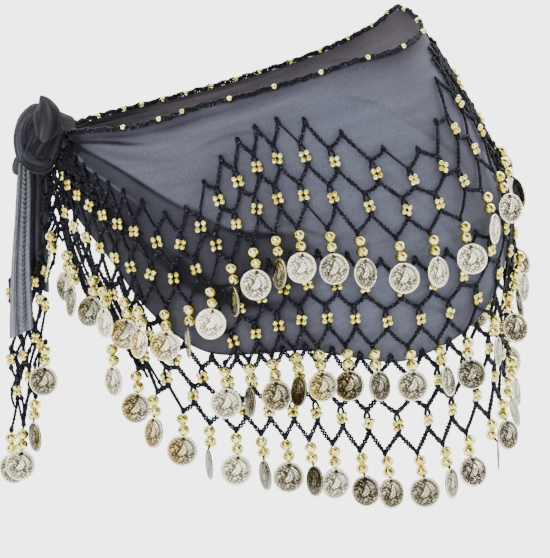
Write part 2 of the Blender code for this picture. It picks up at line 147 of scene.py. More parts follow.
# Sheer cloth round the hips
# One length of sheer black chiffon, wrapped round the hips and drawn into the knot at the left. It is
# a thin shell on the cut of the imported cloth, with soft folds that fan out from the knot and a second
# layer where the pointed end of the shawl lies under it.
MM = 0.001
FORM = np.array([               # the hips, in mm: height, centre across, half width, half depth
    [-340, 40, 149, 102], [-260, 39, 153, 105], [-200, 38, 157, 108], [-150, 37, 161, 111],
    [-100, 36, 164, 111], [-50, 29, 157, 104], [0, 17, 143, 93], [40, 4, 131, 86], [80, -6, 120, 80],
]) * MM
ROUND_COLUMNS = ("share", "edge", "hem", "upper_top", "upper_foot", "middle_top", "middle_foot",
                 "lower_top", "lower_foot")
ROUND = np.array([              # share of the way round, height of the waist edge, depths below it, in mm
    [.00, -37, 36, 6, 40, 20, 30, 24, 40], [.04, -35, 58, 14, 82, 50, 76, 54, 92],
    [.08, -32, 92, 34, 106, 96, 140, 97, 145], [.11, -30, 126, 46, 121, 132, 168, 124, 184],
    [.15, -23, 162, 66, 126, 140, 172, 165, 214], [.19, -13, 174, 40, 103, 120, 177, 175, 231],
    [.23, -6, 178, 22, 91, 110, 175, 175, 242], [.27, 2, 192, 24, 99, 118, 182, 190, 259],
    [.31, 10, 204, 44, 114, 132, 192, 201, 270], [.35, 18, 205, 64, 119, 137, 198, 203, 273],
    [.39, 23, 199, 58, 114, 134, 199, 200, 271], [.43, 30, 184, 30, 98, 120, 188, 190, 266],
    [.47, 38, 170, 16, 92, 112, 176, 180, 256], [.51, 46, 156, 12, 90, 107, 168, 172, 246],
    [.55, 54, 142, 10, 86, 102, 156, 162, 226], [.60, 41, 122, 10, 76, 92, 136, 142, 190],
    [.68, 20, 101, 9, 68, 80, 114, 118, 160], [.75, 4, 88, 8, 62, 72, 100, 104, 140],
    [.85, -16, 66, 8, 52, 58, 70, 64, 112], [.93, -28, 50, 8, 40, 40, 50, 48, 82],
    [1.0, -37, 36, 6, 22, 20, 30, 24, 40],
])
LEAN = np.radians(10) / 0.19    # how far the grain turns round the hips for each metre of depth


def through(x, xs, ys):
    """The smooth cubic through a table: each row's slope is the mean slope of its two neighbours."""
    slope = np.gradient(ys, xs)
    x = np.clip(np.asarray(x, float), xs[0], xs[-1])
    i = np.clip(np.searchsorted(xs, x) - 1, 0, len(xs) - 2)
    step = xs[i + 1] - xs[i]
    t = (x - xs[i]) / step
    return ((1 + 2 * t) * (1 - t) ** 2 * ys[i] + t * (1 - t) ** 2 * step * slope[i]
            + t * t * (3 - 2 * t) * ys[i + 1] + t * t * (t - 1) * step * slope[i + 1])


def round_size(share, column):
    """A size from the table of the way round the hips, in metres."""
    return through(share, ROUND[:, 0], ROUND[:, ROUND_COLUMNS.index(column)]) * MM


HIP_HALVES = (.164, .111)       # half the width and half the depth of the hips where they are widest


def form_place(angle, height, out):
    """A point on the ellipse of that height, moved out along the ellipse's own normal."""
    centre, wide, deep = (through(height, FORM[:, 0], FORM[:, c]) for c in (1, 2, 3))
    nx, ny = np.cos(angle) / wide, np.sin(angle) / deep
    far = np.hypot(nx, ny)
    return np.stack([centre + wide * np.cos(angle) + out * nx / far,
                     deep * np.sin(angle) + out * ny / far, height + 0 * angle], -1)


hip_angles = np.linspace(np.pi, 3 * np.pi, 721)
hip_lengths = np.concatenate([[0], np.cumsum(np.hypot(HIP_HALVES[0] * np.diff(np.cos(hip_angles)),
                                                      HIP_HALVES[1] * np.diff(np.sin(hip_angles))))])
GIRTH = hip_lengths[-1]


def gathered(share):
    """1 at the knot, fading out as a bell on both sides of it."""
    return np.exp(-(np.minimum(share, 1 - share) / 0.07) ** 2)


def worn(share, down, out=0.0):
    """A place on the worn cloth's outer side: the share of the hips' girth gives the angle, the depth
    below the waist edge turns it with the grain and lowers it, and out lifts it off the cloth."""
    share, down = np.broadcast_arrays(np.asarray(share, float), np.asarray(down, float))
    start = np.interp(share % 1.0, hip_lengths / GIRTH, hip_angles)
    hem = 1.6 * MM * np.clip(down / round_size(share, "hem"), 0, 1) ** 3
    tight = gathered(share)
    stand = 2.6 * MM * tight + hem * (1 - tight) * np.sin(2 * np.pi * 10 * share)
    return form_place(start - LEAN * down * np.sin(start), round_size(share, "edge") - down, out + stand)


FOLDS = np.array([              # part of the depth at the knot, and where it dies out; width; deepest; reach
    [.02, .030, .030, 2.2, .17], [.13, .085, .030, 3.0, .24], [.25, .30, .045, 2.6, .30],
    [.36, .47, .040, 3.6, .25], [.47, .60, .050, 2.6, .20], [.58, .70, .045, 3.4, .22],
    [.70, .80, .040, 2.6, .16], [.83, .90, .045, 3.2, .20], [.95, 1.0, .035, 2.4, .13],
])


def fold_depth(share, down):
    """Soft troughs that fan out from the knot: each follows its own line between two parts of the
    cloth's depth, as a bell across that line, and fades out along it. Slack waves are added to them."""
    depth = np.clip(down / round_size(share, "hem"), 0, 1)
    away = np.minimum(share, 1 - share)
    hidden = share > 0.5
    trough = np.zeros_like(share)
    for k, (start, end, wide, deep, reach) in enumerate(FOLDS):
        reach = np.where(hidden, reach * 0.8, reach)
        along = np.clip(away / reach, 0, 1)
        line = start + (end - start) * along + 0.012 * np.sin(9 * along + 2.1 * k + 1.3 * hidden)
        fade = (1 - along) ** 1.3 * np.clip(away / 0.012 + .35, 0, 1)
        trough += deep * MM * fade * np.exp(-((depth - line) / (wide * (0.75 + 0.9 * along))) ** 2)
    slack = 0.55 * MM * (1 + np.sin(2 * np.pi * (5.2 * share + 1.7 * depth) + 1.2 * np.sin(9 * share)))
    slack += 0.4 * MM * (1 + np.sin(2 * np.pi * (11.3 * share - 2.3 * depth)))
    return trough + slack * np.clip(depth * 5, 0, 1) * np.clip(away / .08, 0, 1)


CREASES = {                     # shares, depths in mm, width in mm, trough depth in mm, painted shade (below nought: painted highlight)
    "long": ([.012, .063, .104, .143], [4, 7, 9, 15], 1.3, 0.8, .75),
    "wedge_top": ([.012, .062, .101, .150, .19, .245], [4, 13, 28, 59, 86, 98], 1.9, 1.1, .45),
    "wedge_ridge": ([.010, .042, .067, .099, .125], [6, 13, 27, 43, 58], 1.2, -0.9, -.85),
    "high": ([.012, .05, .10, .16, .24], [3, 4, 4, 6, 5], 1.6, 0.5, .22),
    "middle": ([.012, .06, .11, .17], [5, 10, 19, 32], 2.2, 0.5, .12),
    "pale": ([.02, .07, .12, .18], [4, 9, 13, 22], 2.4, -0.4, -.14),
    "fan": ([.018, .040, .062, .090], [9, 21, 41, 70], 1.3, 1.2, .35),
    "lower_band": ([.05, .095, .127, .154, .198, .25], [30, 65, 92, 119, 139, 146], 4.2, 0.7, .34),
    "low": ([.15, .183, .219, .26], [118, 133, 152, 168], 3.0, 0.6, .18),
    "slope": ([.30, .345, .39, .42], [40, 92, 140, 178], 4.0, 0.8, .16),
    "side_slope": ([.36, .40, .44], [24, 66, 120], 5.0, 0.7, .12),
    "net_top": ([.170, .207, .226, .262], [27, 22, 23, 34], 1.5, 0.5, .24),
    "low_crease": ([.142, .161, .173, .212], [116, 121, 122, 125], 1.4, 0.6, .42),
    "dark_patch": ([.128, .157, .176, .215], [84, 112, 132, 152], 6.5, 0.6, .32),
    "under_coins": ([.226, .249, .261, .296], [84, 97, 103, 109], 2.0, 0.7, .30),
    "pale_long": ([.12, .182, .230, .30], [5, 13, 12, 6], 2.4, -0.4, -.16),
    "low_right": ([.30, .342, .372, .42], [150, 171, 181, 178], 2.4, 0.6, .18),
    "right_fold": ([.31, .35, .39, .43], [14, 30, 58, 88], 2.2, 0.6, .20),
}
CREASE_FADE = 0.018             # share of the way round over which a crease starts and dies out


def crease_lines(share, down):
    """The creases as troughs and as painted shade along them, with painted highlight on the ridges. Each is
    a bell across its own line of depths by share, faded at both ends. The hidden side has the same ones at
    four fifths of its own depth."""
    trough, tone = np.zeros_like(share), np.zeros_like(share)
    hidden = share > 0.5
    near = np.where(hidden, 1 - share, share)
    depth = down * np.where(hidden, 1.25 * round_size(near, "hem") / round_size(share, "hem"), 1)
    for shares, depths, width, deep, dark in CREASES.values():
        line = through(near, np.array(shares), np.array(depths, float)) * MM
        ends = (np.clip((near - shares[0]) / CREASE_FADE, 0, 1)
                * np.clip((shares[-1] - near) / (2 * CREASE_FADE), 0, 1))
        bell = ends * np.exp(-((depth - line) / (width * MM)) ** 2)
        trough += deep * MM * bell
        # painted shade in the crease, or painted highlight on a ridge where the tone is below nought
        tone += dark * bell
    return trough, tone


def second_layer(share, down):
    """How much the shawl's under layer darkens the cloth: full between an upper line, which runs down
    from the knot across the seen side, and a lower line near the hem."""
    upper = np.interp(share, [.02, .062, .101, .12, .150, .17, .192, .219, .245, .262],
                      [5, 13, 27, 38, 59, 76, 87, 92, 98, 190]) * MM
    lower = np.interp(share, [.03, .09, .101, .131, .154, .198, .216, .25],
                      [60, 100, 110, 116, 123, 136, 138, 140]) * MM
    inside = 1 / (1 + np.exp(-(down - upper) / (0.8 * MM)))
    below = 1 / (1 + np.exp(-(down - lower) / (3.5 * MM)))
    fade = np.clip((.262 - share) / .03, 0, 1)
    return inside * (1 - 0.35 * below) * fade


def wall_mesh(name, places, closed_round=False, uv=None, shades=None):
    """A sheet from a grid of places, columns by rows, joined to itself across the last column where it
    closes round. uv holds both coordinates of every place, and shades are named point values."""
    columns, rows = places.shape[:2]
    index = np.arange(columns * rows).reshape(columns, rows)
    after = np.roll(index, -1, 0) if closed_round else index[1:]
    before = index if closed_round else index[:-1]
    quads = np.stack([before[:, :-1], before[:, 1:], after[:, 1:], after[:, :-1]], -1).reshape(-1, 4)
    mesh = bpy.data.meshes.new(name)
    mesh.from_pydata(places.reshape(-1, 3), [], quads.tolist())
    if uv is not None:
        flat = uv.reshape(-1, 2)[quads]
        if closed_round:
            seam = quads[:, 2] < quads[:, 1]
            flat[seam, 2:, 0] = GIRTH
        layer = mesh.uv_layers.new(name="cut")
        layer.data.foreach_set("uv", flat.reshape(-1))
    for shade, values in (shades or {}).items():
        mesh.attributes.new(shade, "FLOAT", "POINT").data.foreach_set("value", values.reshape(-1))
    mesh.shade_smooth()
    return placed(name, mesh)


def give_wall(made, wall, offset):
    """A thin wall on a sheet, on the side that offset names."""
    shell = made.modifiers.new("wall", "SOLIDIFY")
    shell.thickness = wall
    shell.offset = offset


def noise_on(nodes, links, vector, scale, detail=2):
    """Soft uneven spots over the given coordinates."""
    made = nodes.new("ShaderNodeTexNoise")
    made.inputs["Scale"].default_value = scale
    made.inputs["Detail"].default_value = detail
    links.new(vector, made.inputs["Vector"])
    return made.outputs["Fac"]


def scaled(nodes, links, vector, scale):
    """Coordinates drawn out or pressed together along each axis."""
    made = nodes.new("ShaderNodeMapping")
    made.inputs["Scale"].default_value = scale
    links.new(vector, made.inputs["Vector"])
    return made.outputs["Vector"]


def weighed(nodes, links, value, factor, more):
    """A value times a factor plus a fixed amount."""
    made = nodes.new("ShaderNodeMath")
    made.operation = "MULTIPLY_ADD"
    links.new(value, made.inputs[0])
    made.inputs[1].default_value = factor
    made.inputs[2].default_value = more
    return made


def joined_values(nodes, links, first, second, operation):
    """Two values added or multiplied."""
    made = nodes.new("ShaderNodeMath")
    made.operation = operation
    links.new(first, made.inputs[0])
    links.new(second, made.inputs[1])
    return made


def toned(nodes, links, value, *stops):
    """The colour that a row of stops gives for a value."""
    made = nodes.new("ShaderNodeValToRGB")
    colour_stops(made, *stops)
    links.new(value, made.inputs["Fac"])
    return made.outputs["Color"]


def multiplied(nodes, links, colour, tone, amount):
    """A colour multiplied in part by a tone."""
    made = nodes.new("ShaderNodeMix")
    made.data_type = "RGBA"
    made.blend_type = "MULTIPLY"
    made.inputs["Factor"].default_value = amount
    links.new(colour, made.inputs["A"])
    links.new(tone, made.inputs["B"])
    return made.outputs["Result"]


def raise_surface(nodes, links, shader, height, strength, distance):
    """Fine relief in a shader from a height, with the distance in metres."""
    bump = nodes.new("ShaderNodeBump")
    bump.inputs["Strength"].default_value = strength
    bump.inputs["Distance"].default_value = distance
    links.new(height, bump.inputs["Height"])
    links.new(bump.outputs["Normal"], shader.inputs["Normal"])


def grey(level):
    """A neutral colour."""
    return (level, level, level)


def chiffon(name, light, dark, opacity, flecks=0.0):
    """Sheer cloth: two crossing thread waves for the weave, a fine grain of uneven threads, long soft
    streaks along them, a slow mottle, and a darker tone from the mesh's own values, which hold a second
    layer as well as painted shade and painted light. The half tone leans to violet, the hue painted for
    cloth in shade. Flecks are where light shows between pulled threads, and there are fewer of them in the
    hollows."""
    made, nodes, links, shader = new_finish(name)
    uv = nodes.new("ShaderNodeUVMap")
    uv.uv_map = "cut"
    weave = []
    for axis in ("X", "Y"):
        wave = nodes.new("ShaderNodeTexWave")
        wave.bands_direction = axis
        wave.inputs["Scale"].default_value = 420
        wave.inputs["Distortion"].default_value = 1.2
        wave.inputs["Detail"].default_value = 1
        links.new(uv.outputs["UV"], wave.inputs["Vector"])
        weave.append(wave.outputs["Fac"])
    threads = joined_values(nodes, links, *weave, "MULTIPLY").outputs[0]
    streak = noise_on(nodes, links, scaled(nodes, links, uv.outputs["UV"], (6, 90, 1)), 1.6, 5)
    grain = noise_on(nodes, links, scaled(nodes, links, uv.outputs["UV"], (900, 340, 1)), 1.0, 2)
    place = nodes.new("ShaderNodeTexCoord")
    mottle = noise_on(nodes, links, place.outputs["Object"], 14, 3)
    layers_and_shade = nodes.new("ShaderNodeAttribute")
    layers_and_shade.attribute_name = "layers_and_shade"
    depth = joined_values(nodes, links, weighed(nodes, links, mottle, 0.8, -0.40).outputs[0],
                          layers_and_shade.outputs["Fac"], "ADD")
    depth.use_clamp = True
    half = [(0.6 * a + 0.4 * b) * lean for a, b, lean in zip(light, dark, (1.06, .99, .97))]
    colour = toned(nodes, links, depth.outputs[0], (0, light), (0.4, half), (1, dark))
    streak_tone = toned(nodes, links, streak, (0.3, (.55, .55, .57)), (0.72, (1.15, 1.15, 1.18)))
    thread_tone = toned(nodes, links, threads, (0, grey(.6)), (1, grey(1.3)))
    grain_tone = toned(nodes, links, grain, (.3, grey(.55)), (.7, grey(1.45)))
    colour = multiplied(nodes, links, colour, streak_tone, 0.38)
    colour = multiplied(nodes, links, colour, thread_tone, 0.35)
    colour = multiplied(nodes, links, colour, grain_tone, 0.32)
    on_top = weighed(nodes, links, layers_and_shade.outputs["Fac"], -1.6 * flecks, flecks)
    on_top.use_clamp = True
    between = nodes.new("ShaderNodeMapRange")
    between.inputs["From Min"].default_value = 0.56
    between.inputs["From Max"].default_value = 0.66
    links.new(grain, between.inputs["Value"])
    links.new(on_top.outputs[0], between.inputs["To Max"])
    flecked = nodes.new("ShaderNodeMix")
    flecked.data_type = "RGBA"
    flecked.inputs["B"].default_value = (.30, .32, .36, 1)
    links.new(between.outputs["Result"], flecked.inputs["Factor"])
    links.new(colour, flecked.inputs["A"])
    links.new(flecked.outputs["Result"], shader.inputs["Base Color"])
    raise_surface(nodes, links, shader, threads, 0.25, 0.0003)
    shader.inputs["Roughness"].default_value = 0.72
    shader.inputs["Sheen Weight"].default_value = 0.05
    shader.inputs["Sheen Roughness"].default_value = 0.4
    shader.inputs["Specular IOR Level"].default_value = 0.12
    shader.inputs["Alpha"].default_value = opacity
    return made


wrap_columns, wrap_rows = 420, 88
wrap_even, wrap_part = np.meshgrid(np.arange(wrap_columns) / wrap_columns,
                                   np.linspace(0, 1, wrap_rows), indexing="ij")
wrap_share = wrap_even - 0.4 * np.sin(2 * np.pi * wrap_even) / (2 * np.pi)   # closer beside the knot
wrap_down = wrap_part * round_size(wrap_share, "hem")
crease_trough, crease_shade_and_highlight = crease_lines(wrap_share, wrap_down)
wrap_depth = fold_depth(wrap_share, wrap_down) + crease_trough
beside_knot = np.clip(1.35 - np.minimum(wrap_share, 1 - wrap_share) / .042, 0, 1)
# Painted light round the form: no added tone where the seen side faces the viewer, about a third of the way
# round, and painted shade towards the sides and behind.
painted_light_round = np.interp(wrap_share, [0, .235, .30, .36, .40, .56, 1], [.29, .25, 0, 0, .24, .27, .29])
behind_knot = np.exp(-(1 - wrap_share) / .06)
hem_line = np.exp(-((1 - wrap_part) * round_size(wrap_share, "hem") / (1.3 * MM)) ** 2)
waist_line = np.exp(-(wrap_down / (9 * MM)) ** 2)
# The cloth's darkening values: the second layer, painted shade along the creases with painted highlight on
# their ridges, the painted light round the form, and darker bands beside and behind the knot, along the hem
# and below the waist edge.
wrap = wall_mesh("sheer_wrap", worn(wrap_share, wrap_down, -wrap_depth), True,
                 uv=np.stack([wrap_share * GIRTH, wrap_down], -1),
                 shades={"layers_and_shade": 0.48 * second_layer(wrap_share, wrap_down) + crease_shade_and_highlight
                         + 0.95 * beside_knot + painted_light_round + 0.75 * behind_knot + 0.5 * hem_line
                         + 0.42 * waist_line})
give_wall(wrap, 0.6 * MM, -1)
wrap.modifiers["wall"].material_offset = 1
wrap.data.materials.append(chiffon("sheer_chiffon", (.114, .121, .161), (.008, .008, .013), 0.96))
# The inside of the wall has its own copy of the chiffon in a warmer violet-brown: the painted colour of the
# inside of the cloth in shade.
wrap.data.materials.append(chiffon("sheer_inside_shade_tint", (.144, .135, .158), (.012, .011, .014), 0.96))
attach(wrap, "root")
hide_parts("cloth_wrap")

# Crocheted waist edging
# A row of chain stitch in black cotton, worked along the cloth's raw waist edge, with one gold bead
# strung into it every few centimetres.


def ply_tubes(centres, across, out, swing, lift, turns, thread):
    """Two threads that cross each other along many paths at once: each swings from side to side as a
    sine and in and out as its cosine, and the second is half a turn behind the first. Each is a tube
    of four sides. Arrays are paths by places by 3. Returns points and quads, with both ends of every
    thread closed."""
    paths, places = centres.shape[:2]
    sides = 4
    t = np.linspace(0, 1, places)
    points = []
    for ply in (0.0, np.pi):
        phase = 2 * np.pi * np.asarray(turns).reshape(-1, 1) * t + ply
        middle = (centres + across * (swing * np.sin(phase))[..., None]
                  + out * (lift * np.cos(phase))[..., None])
        along = np.gradient(middle, axis=1)
        along /= np.linalg.norm(along, axis=2, keepdims=True)
        side = np.cross(along, out)
        side /= np.linalg.norm(side, axis=2, keepdims=True)
        up = np.cross(side, along)
        for s in range(sides):
            a = 2 * np.pi * (s + 0.5) / sides
            points.append(middle + thread * (side * np.cos(a) + up * np.sin(a)))
    ring = np.stack(points, 2).reshape(paths, places, 2, sides, 3)
    index = np.arange(ring[..., 0].size).reshape(paths, places, 2, sides)
    turn = np.roll(index, -1, 3)
    quads = np.stack([index[:, :-1], turn[:, :-1], turn[:, 1:], index[:, 1:]], -1).reshape(-1, 4)
    caps = np.concatenate([index[:, 0, :, ::-1].reshape(-1, sides), index[:, -1].reshape(-1, sides)])
    return ring.reshape(-1, 3), np.concatenate([quads, caps])


HIPS_MIDDLE = 0.036             # across, in metres
HIPS_FLATNESS = 2.1             # half their width over half their depth, squared


def frames_along(paths):
    """Across and out directions of paths on the worn cloth: out points away from the middle of the
    hips along the level, and across is square to it and to the path."""
    along = np.gradient(paths, axis=1)
    along /= np.linalg.norm(along, axis=2, keepdims=True)
    out = np.stack([paths[..., 0] - HIPS_MIDDLE, paths[..., 1] * HIPS_FLATNESS, 0 * paths[..., 0]], -1)
    out /= np.linalg.norm(out, axis=2, keepdims=True)
    out -= along * (out * along).sum(2, keepdims=True)
    out /= np.linalg.norm(out, axis=2, keepdims=True)
    return np.cross(along, out), out


def balls(centres, radii, around=8, levels=6):
    """Many beads or yarn knots at once: a ball's rings between its two poles, scaled to three radii."""
    level = np.pi * np.arange(1, levels) / levels
    turn = 2 * np.pi * np.arange(around) / around
    rings = np.stack([np.sin(level)[:, None] * np.cos(turn), np.sin(level)[:, None] * np.sin(turn),
                      np.cos(level)[:, None] + 0 * turn], -1).reshape(-1, 3)
    unit = np.concatenate([rings, [[0, 0, 1.0], [0, 0, -1.0]]])
    places = centres[:, None] + unit[None] * np.broadcast_to(radii, centres.shape)[:, None]
    grid = np.arange((levels - 1) * around).reshape(levels - 1, around)
    nxt = np.roll(grid, -1, 1)
    body = np.stack([grid[:-1], grid[1:], nxt[1:], nxt[:-1]], -1).reshape(-1, 4)
    top, low = len(rings), len(rings) + 1
    caps = np.concatenate([np.stack([grid[0], nxt[0], 0 * nxt[0] + top], -1),
                           np.stack([nxt[-1], grid[-1], 0 * nxt[0] + low], -1)])
    shift = (np.arange(len(centres)) * len(unit))[:, None, None]
    return places.reshape(-1, 3), (body + shift).reshape(-1, 4), (caps + shift).reshape(-1, 3)


def joined(name, shapes, finish):
    """One object from several sets of points and faces."""
    points, faces, count = [], [], 0
    for shape in shapes:
        points.append(shape[0])
        for some in shape[1:]:
            faces += (some + count).tolist()
        count += len(shape[0])
    mesh = bpy.data.meshes.new(name)
    mesh.from_pydata(np.concatenate(points), [], faces)
    mesh.shade_smooth()
    mesh.materials.append(finish)
    return placed(name, mesh)


def cotton_yarn():
    """Black cotton with an indigo cast: fibre noise in the tone and the bump, and pale flecks where
    single fibres catch the light."""
    made, nodes, links, shader = new_finish("cotton_yarn")
    place = nodes.new("ShaderNodeTexCoord")
    fibre = noise_on(nodes, links, place.outputs["Object"], 900, 3)
    tone = toned(nodes, links, fibre, (.40, (.001, .001, .003)), (.60, (.007, .007, .013)),
                 (.74, (.16, .16, .21)))
    links.new(tone, shader.inputs["Base Color"])
    raise_surface(nodes, links, shader, fibre, 0.5, 0.0004)
    shader.inputs["Roughness"].default_value = 0.55
    shader.inputs["Specular IOR Level"].default_value = 0.10
    return made


def uneven_metal(nodes, links, shader, wear, smooth, dull, strength, distance):
    """Makes a shader a metal whose gloss and small dents both follow its wear."""
    rough = nodes.new("ShaderNodeMapRange")
    rough.inputs["To Min"].default_value = smooth
    rough.inputs["To Max"].default_value = dull
    links.new(wear, rough.inputs["Value"])
    links.new(rough.outputs["Result"], shader.inputs["Roughness"])
    raise_surface(nodes, links, shader, wear, strength, distance)
    shader.inputs["Metallic"].default_value = 1.0


def gold_bead():
    """Metallised gold plastic: a pale yellow mirror, a little uneven, with darker olive patches."""
    made, nodes, links, shader = new_finish("gold_bead")
    place = nodes.new("ShaderNodeTexCoord")
    wear = noise_on(nodes, links, place.outputs["Object"], 260)
    tone = toned(nodes, links, wear, (.36, (.46, .38, .06)), (.60, (1.0, .91, .34)))
    links.new(tone, shader.inputs["Base Color"])
    uneven_metal(nodes, links, shader, wear, 0.10, 0.26, 0.45, 0.0007)
    return made


yarn, gold = cotton_yarn(), gold_bead()
INTO_KNOT_NEAR = np.array([-134, -36, -33.5]) * MM       # where the edging's two ends go into the knot
INTO_KNOT_FAR = np.array([-134, -26, -20.5]) * MM
EDGING_STITCHES = 170
edging_share = np.linspace(.035, .962, 1400)
edging_path = worn(edging_share, 0.0, -0.3 * MM) + [0, 0, 1.5 * MM]
edging_path[:, 2] += 0.5 * MM * np.sin(2 * np.pi * 62 * edging_share + 3 * np.sin(40 * edging_share))
lead = np.linspace(0, 1, 45)[:, None]
near_lead = INTO_KNOT_NEAR * (1 - lead) + edging_path[0] * lead
far_lead = edging_path[-1] * (1 - lead) + INTO_KNOT_FAR * lead
edging_path = np.concatenate([near_lead[:-1], edging_path, far_lead[1:]])
edging_across, edging_out = frames_along(edging_path[None])
every_seventh = slice(4, None, 7)
edging_knots = edging_path[every_seventh]
edging_knots = edging_knots + edging_across[0, every_seventh] * (
    0.9 * MM * np.sin(2.4 * np.arange(len(edging_knots))))[:, None]
edging = joined("waist_chain_edging", [
    ply_tubes(edging_path[None], edging_across, edging_out, 1.25 * MM, 0.6 * MM, EDGING_STITCHES, 0.95 * MM),
    balls(edging_knots, np.array([1.7, 1.5, 1.4]) * MM, 6, 4)], yarn)
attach(edging, "root")
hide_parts("waist_edging")

edging_beads_at = np.array([.111, .148, .171, .217, .261, .310, .365, .415, .465, .503, .536, .572,
                            .604, .642, .680, .716, .752, .778, .805, .832, .857, .880, .900, .932])
edging_beads_out = np.where(edging_beads_at > .5, -1.7, 1.3) * MM     # on the side that faces the seen side
edging_beads = joined("waist_edging_beads", [
    balls(worn(edging_beads_at, 0.0, edging_beads_out) + [0, 0, 1.9 * MM],
          np.array([2.05, 2.05, 2.0]) * MM, 12, 8)], gold)
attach(edging_beads, "root")

# Upper net tier
# Crocheted black cotton net, sewn to the cloth by the points of its top row. Four small gold beads sit
# in every stitch of its two rows, and two larger beads with a stamped coin hang from every lower point.
COLUMN_STEPS = np.array([
    [0, .012], [7, .112], [12, .204], [14, .241], [16, .287], [18, .350], [20, .420], [22, .480],
    [23, .508], [37, .922], [38, .952],
])
NET_OUT = 1.7 * MM              # the yarn's middle above the cloth
TOP_POINT = 3.4 * MM            # how far a top point reaches up from its first stitch
ABOVE_CLUSTER = (9.0, .135, .068)       # an upright stitch above a bead cluster: at most this many mm, and
BELOW_CLUSTER = (6.2, .095, .053)       # this part of the net's depth, with two rows and with four
CLUSTER_OUT = 1.3 * MM          # how far a cluster's middle stands off the yarn's
FOOT_OUT = 1.6 * MM
STITCH = 5.6 * MM               # the length of yarn in which the two threads cross and cross back


def column_share(column):
    """The share of the way round at a net column, half columns included."""
    return np.interp(column, COLUMN_STEPS[:, 0], COLUMN_STEPS[:, 1])


def net_place(column, across, down, out):
    """A place on the worn cloth in the net's own terms."""
    return worn(column_share(column) + across / GIRTH, down, NET_OUT + out)


def net_runs(columns, top_of, foot_of, centres, linked):
    """The net's stitches as pairs of ends, each end a column, a distance across, a depth and a lift:
    the zigzag top, a short upright behind every bead cluster, the slanting chains between rows, and
    the lower points. Also returns which stitches are upright, and the clusters' and knots' places. A
    linked net also has the chains that join it to the column before its first."""
    columns = np.asarray(columns, float)
    if linked:
        columns = np.concatenate([[columns[0] - 1], columns])
    own = slice(int(linked), None)
    halves = columns[:-1] + 0.5
    runs, clusters, joints = [], [], []

    def level(c, part):
        return top_of(c) + (foot_of(c) - top_of(c)) * part

    def reach(c, most, share, short_share):
        part = share if len(centres) == 2 else short_share
        return np.minimum(most * MM, part * (foot_of(c) - top_of(c)))

    def ends(c, down, lift=0.0):
        return np.stack([c, 0 * c, down, 0 * c + lift], -1)

    last_low = ends(halves, top_of(halves))
    joints.append(last_low)
    runs.append((ends(halves, top_of(halves) - TOP_POINT), last_low))
    upright = [np.zeros(len(halves), bool)]
    for row, part in enumerate(centres):
        here = columns if row % 2 == 0 else halves
        middle = level(here, part)
        high = ends(here, middle - reach(here, *ABOVE_CLUSTER))
        low = ends(here, middle + reach(here, *BELOW_CLUSTER))
        kept = own if row % 2 == 0 else slice(None)
        runs.append((high[kept], low[kept]))
        upright.append(np.ones(len(here[kept]), bool))
        clusters.append(ends(here, middle, CLUSTER_OUT)[kept])
        joints += [high[kept], low[kept]]
        if row % 2 == 0:
            runs += [(last_low, high[:-1]), (last_low, high[1:])]
        else:
            runs += [(last_low[:-1], high), (last_low[1:], high)]
        upright.append(np.zeros(2 * min(len(last_low), len(high)), bool))
        last_low = low
    feet = ends(columns, foot_of(columns), FOOT_OUT)
    if len(centres) % 2 == 0:
        runs += [(last_low, feet[:-1]), (last_low, feet[1:])]
        upright.append(np.zeros(2 * len(last_low), bool))
    joints.append(feet[own])
    first = np.concatenate([a for a, b in runs])
    second = np.concatenate([b for a, b in runs])
    return first, second, np.concatenate(upright), np.concatenate(clusters), np.concatenate(joints)


def crowding(column):
    """1 where the columns crowd beside the knot on the seen side, 0 where they are evenly spread."""
    return np.clip((0.135 - column_share(column)) / 0.03, 0, 1)


def coin_turn(column, tier):
    """Each coin hangs turned its own way: alternating sides, by an amount that wanders along the row.
    Where columns are close, every second coin hangs nearly edge-on, and beside the knot they overlap."""
    side = np.where(column % 2 == 1, 1, -1)
    free = 34 * (0.75 + 0.25 * np.sin(2.4 * column + 1.7 * tier))
    pitch = column_share(column + 0.5) - column_share(column - 0.5)
    tight = np.clip((0.0235 - pitch) / 0.003, 0, 1)
    turn = free + (np.where(column % 2 == 1, 62, 14) - free) * tight
    return side * np.radians(turn + (14 - turn) * crowding(column))


COIN_RADIUS = 11                # in mm


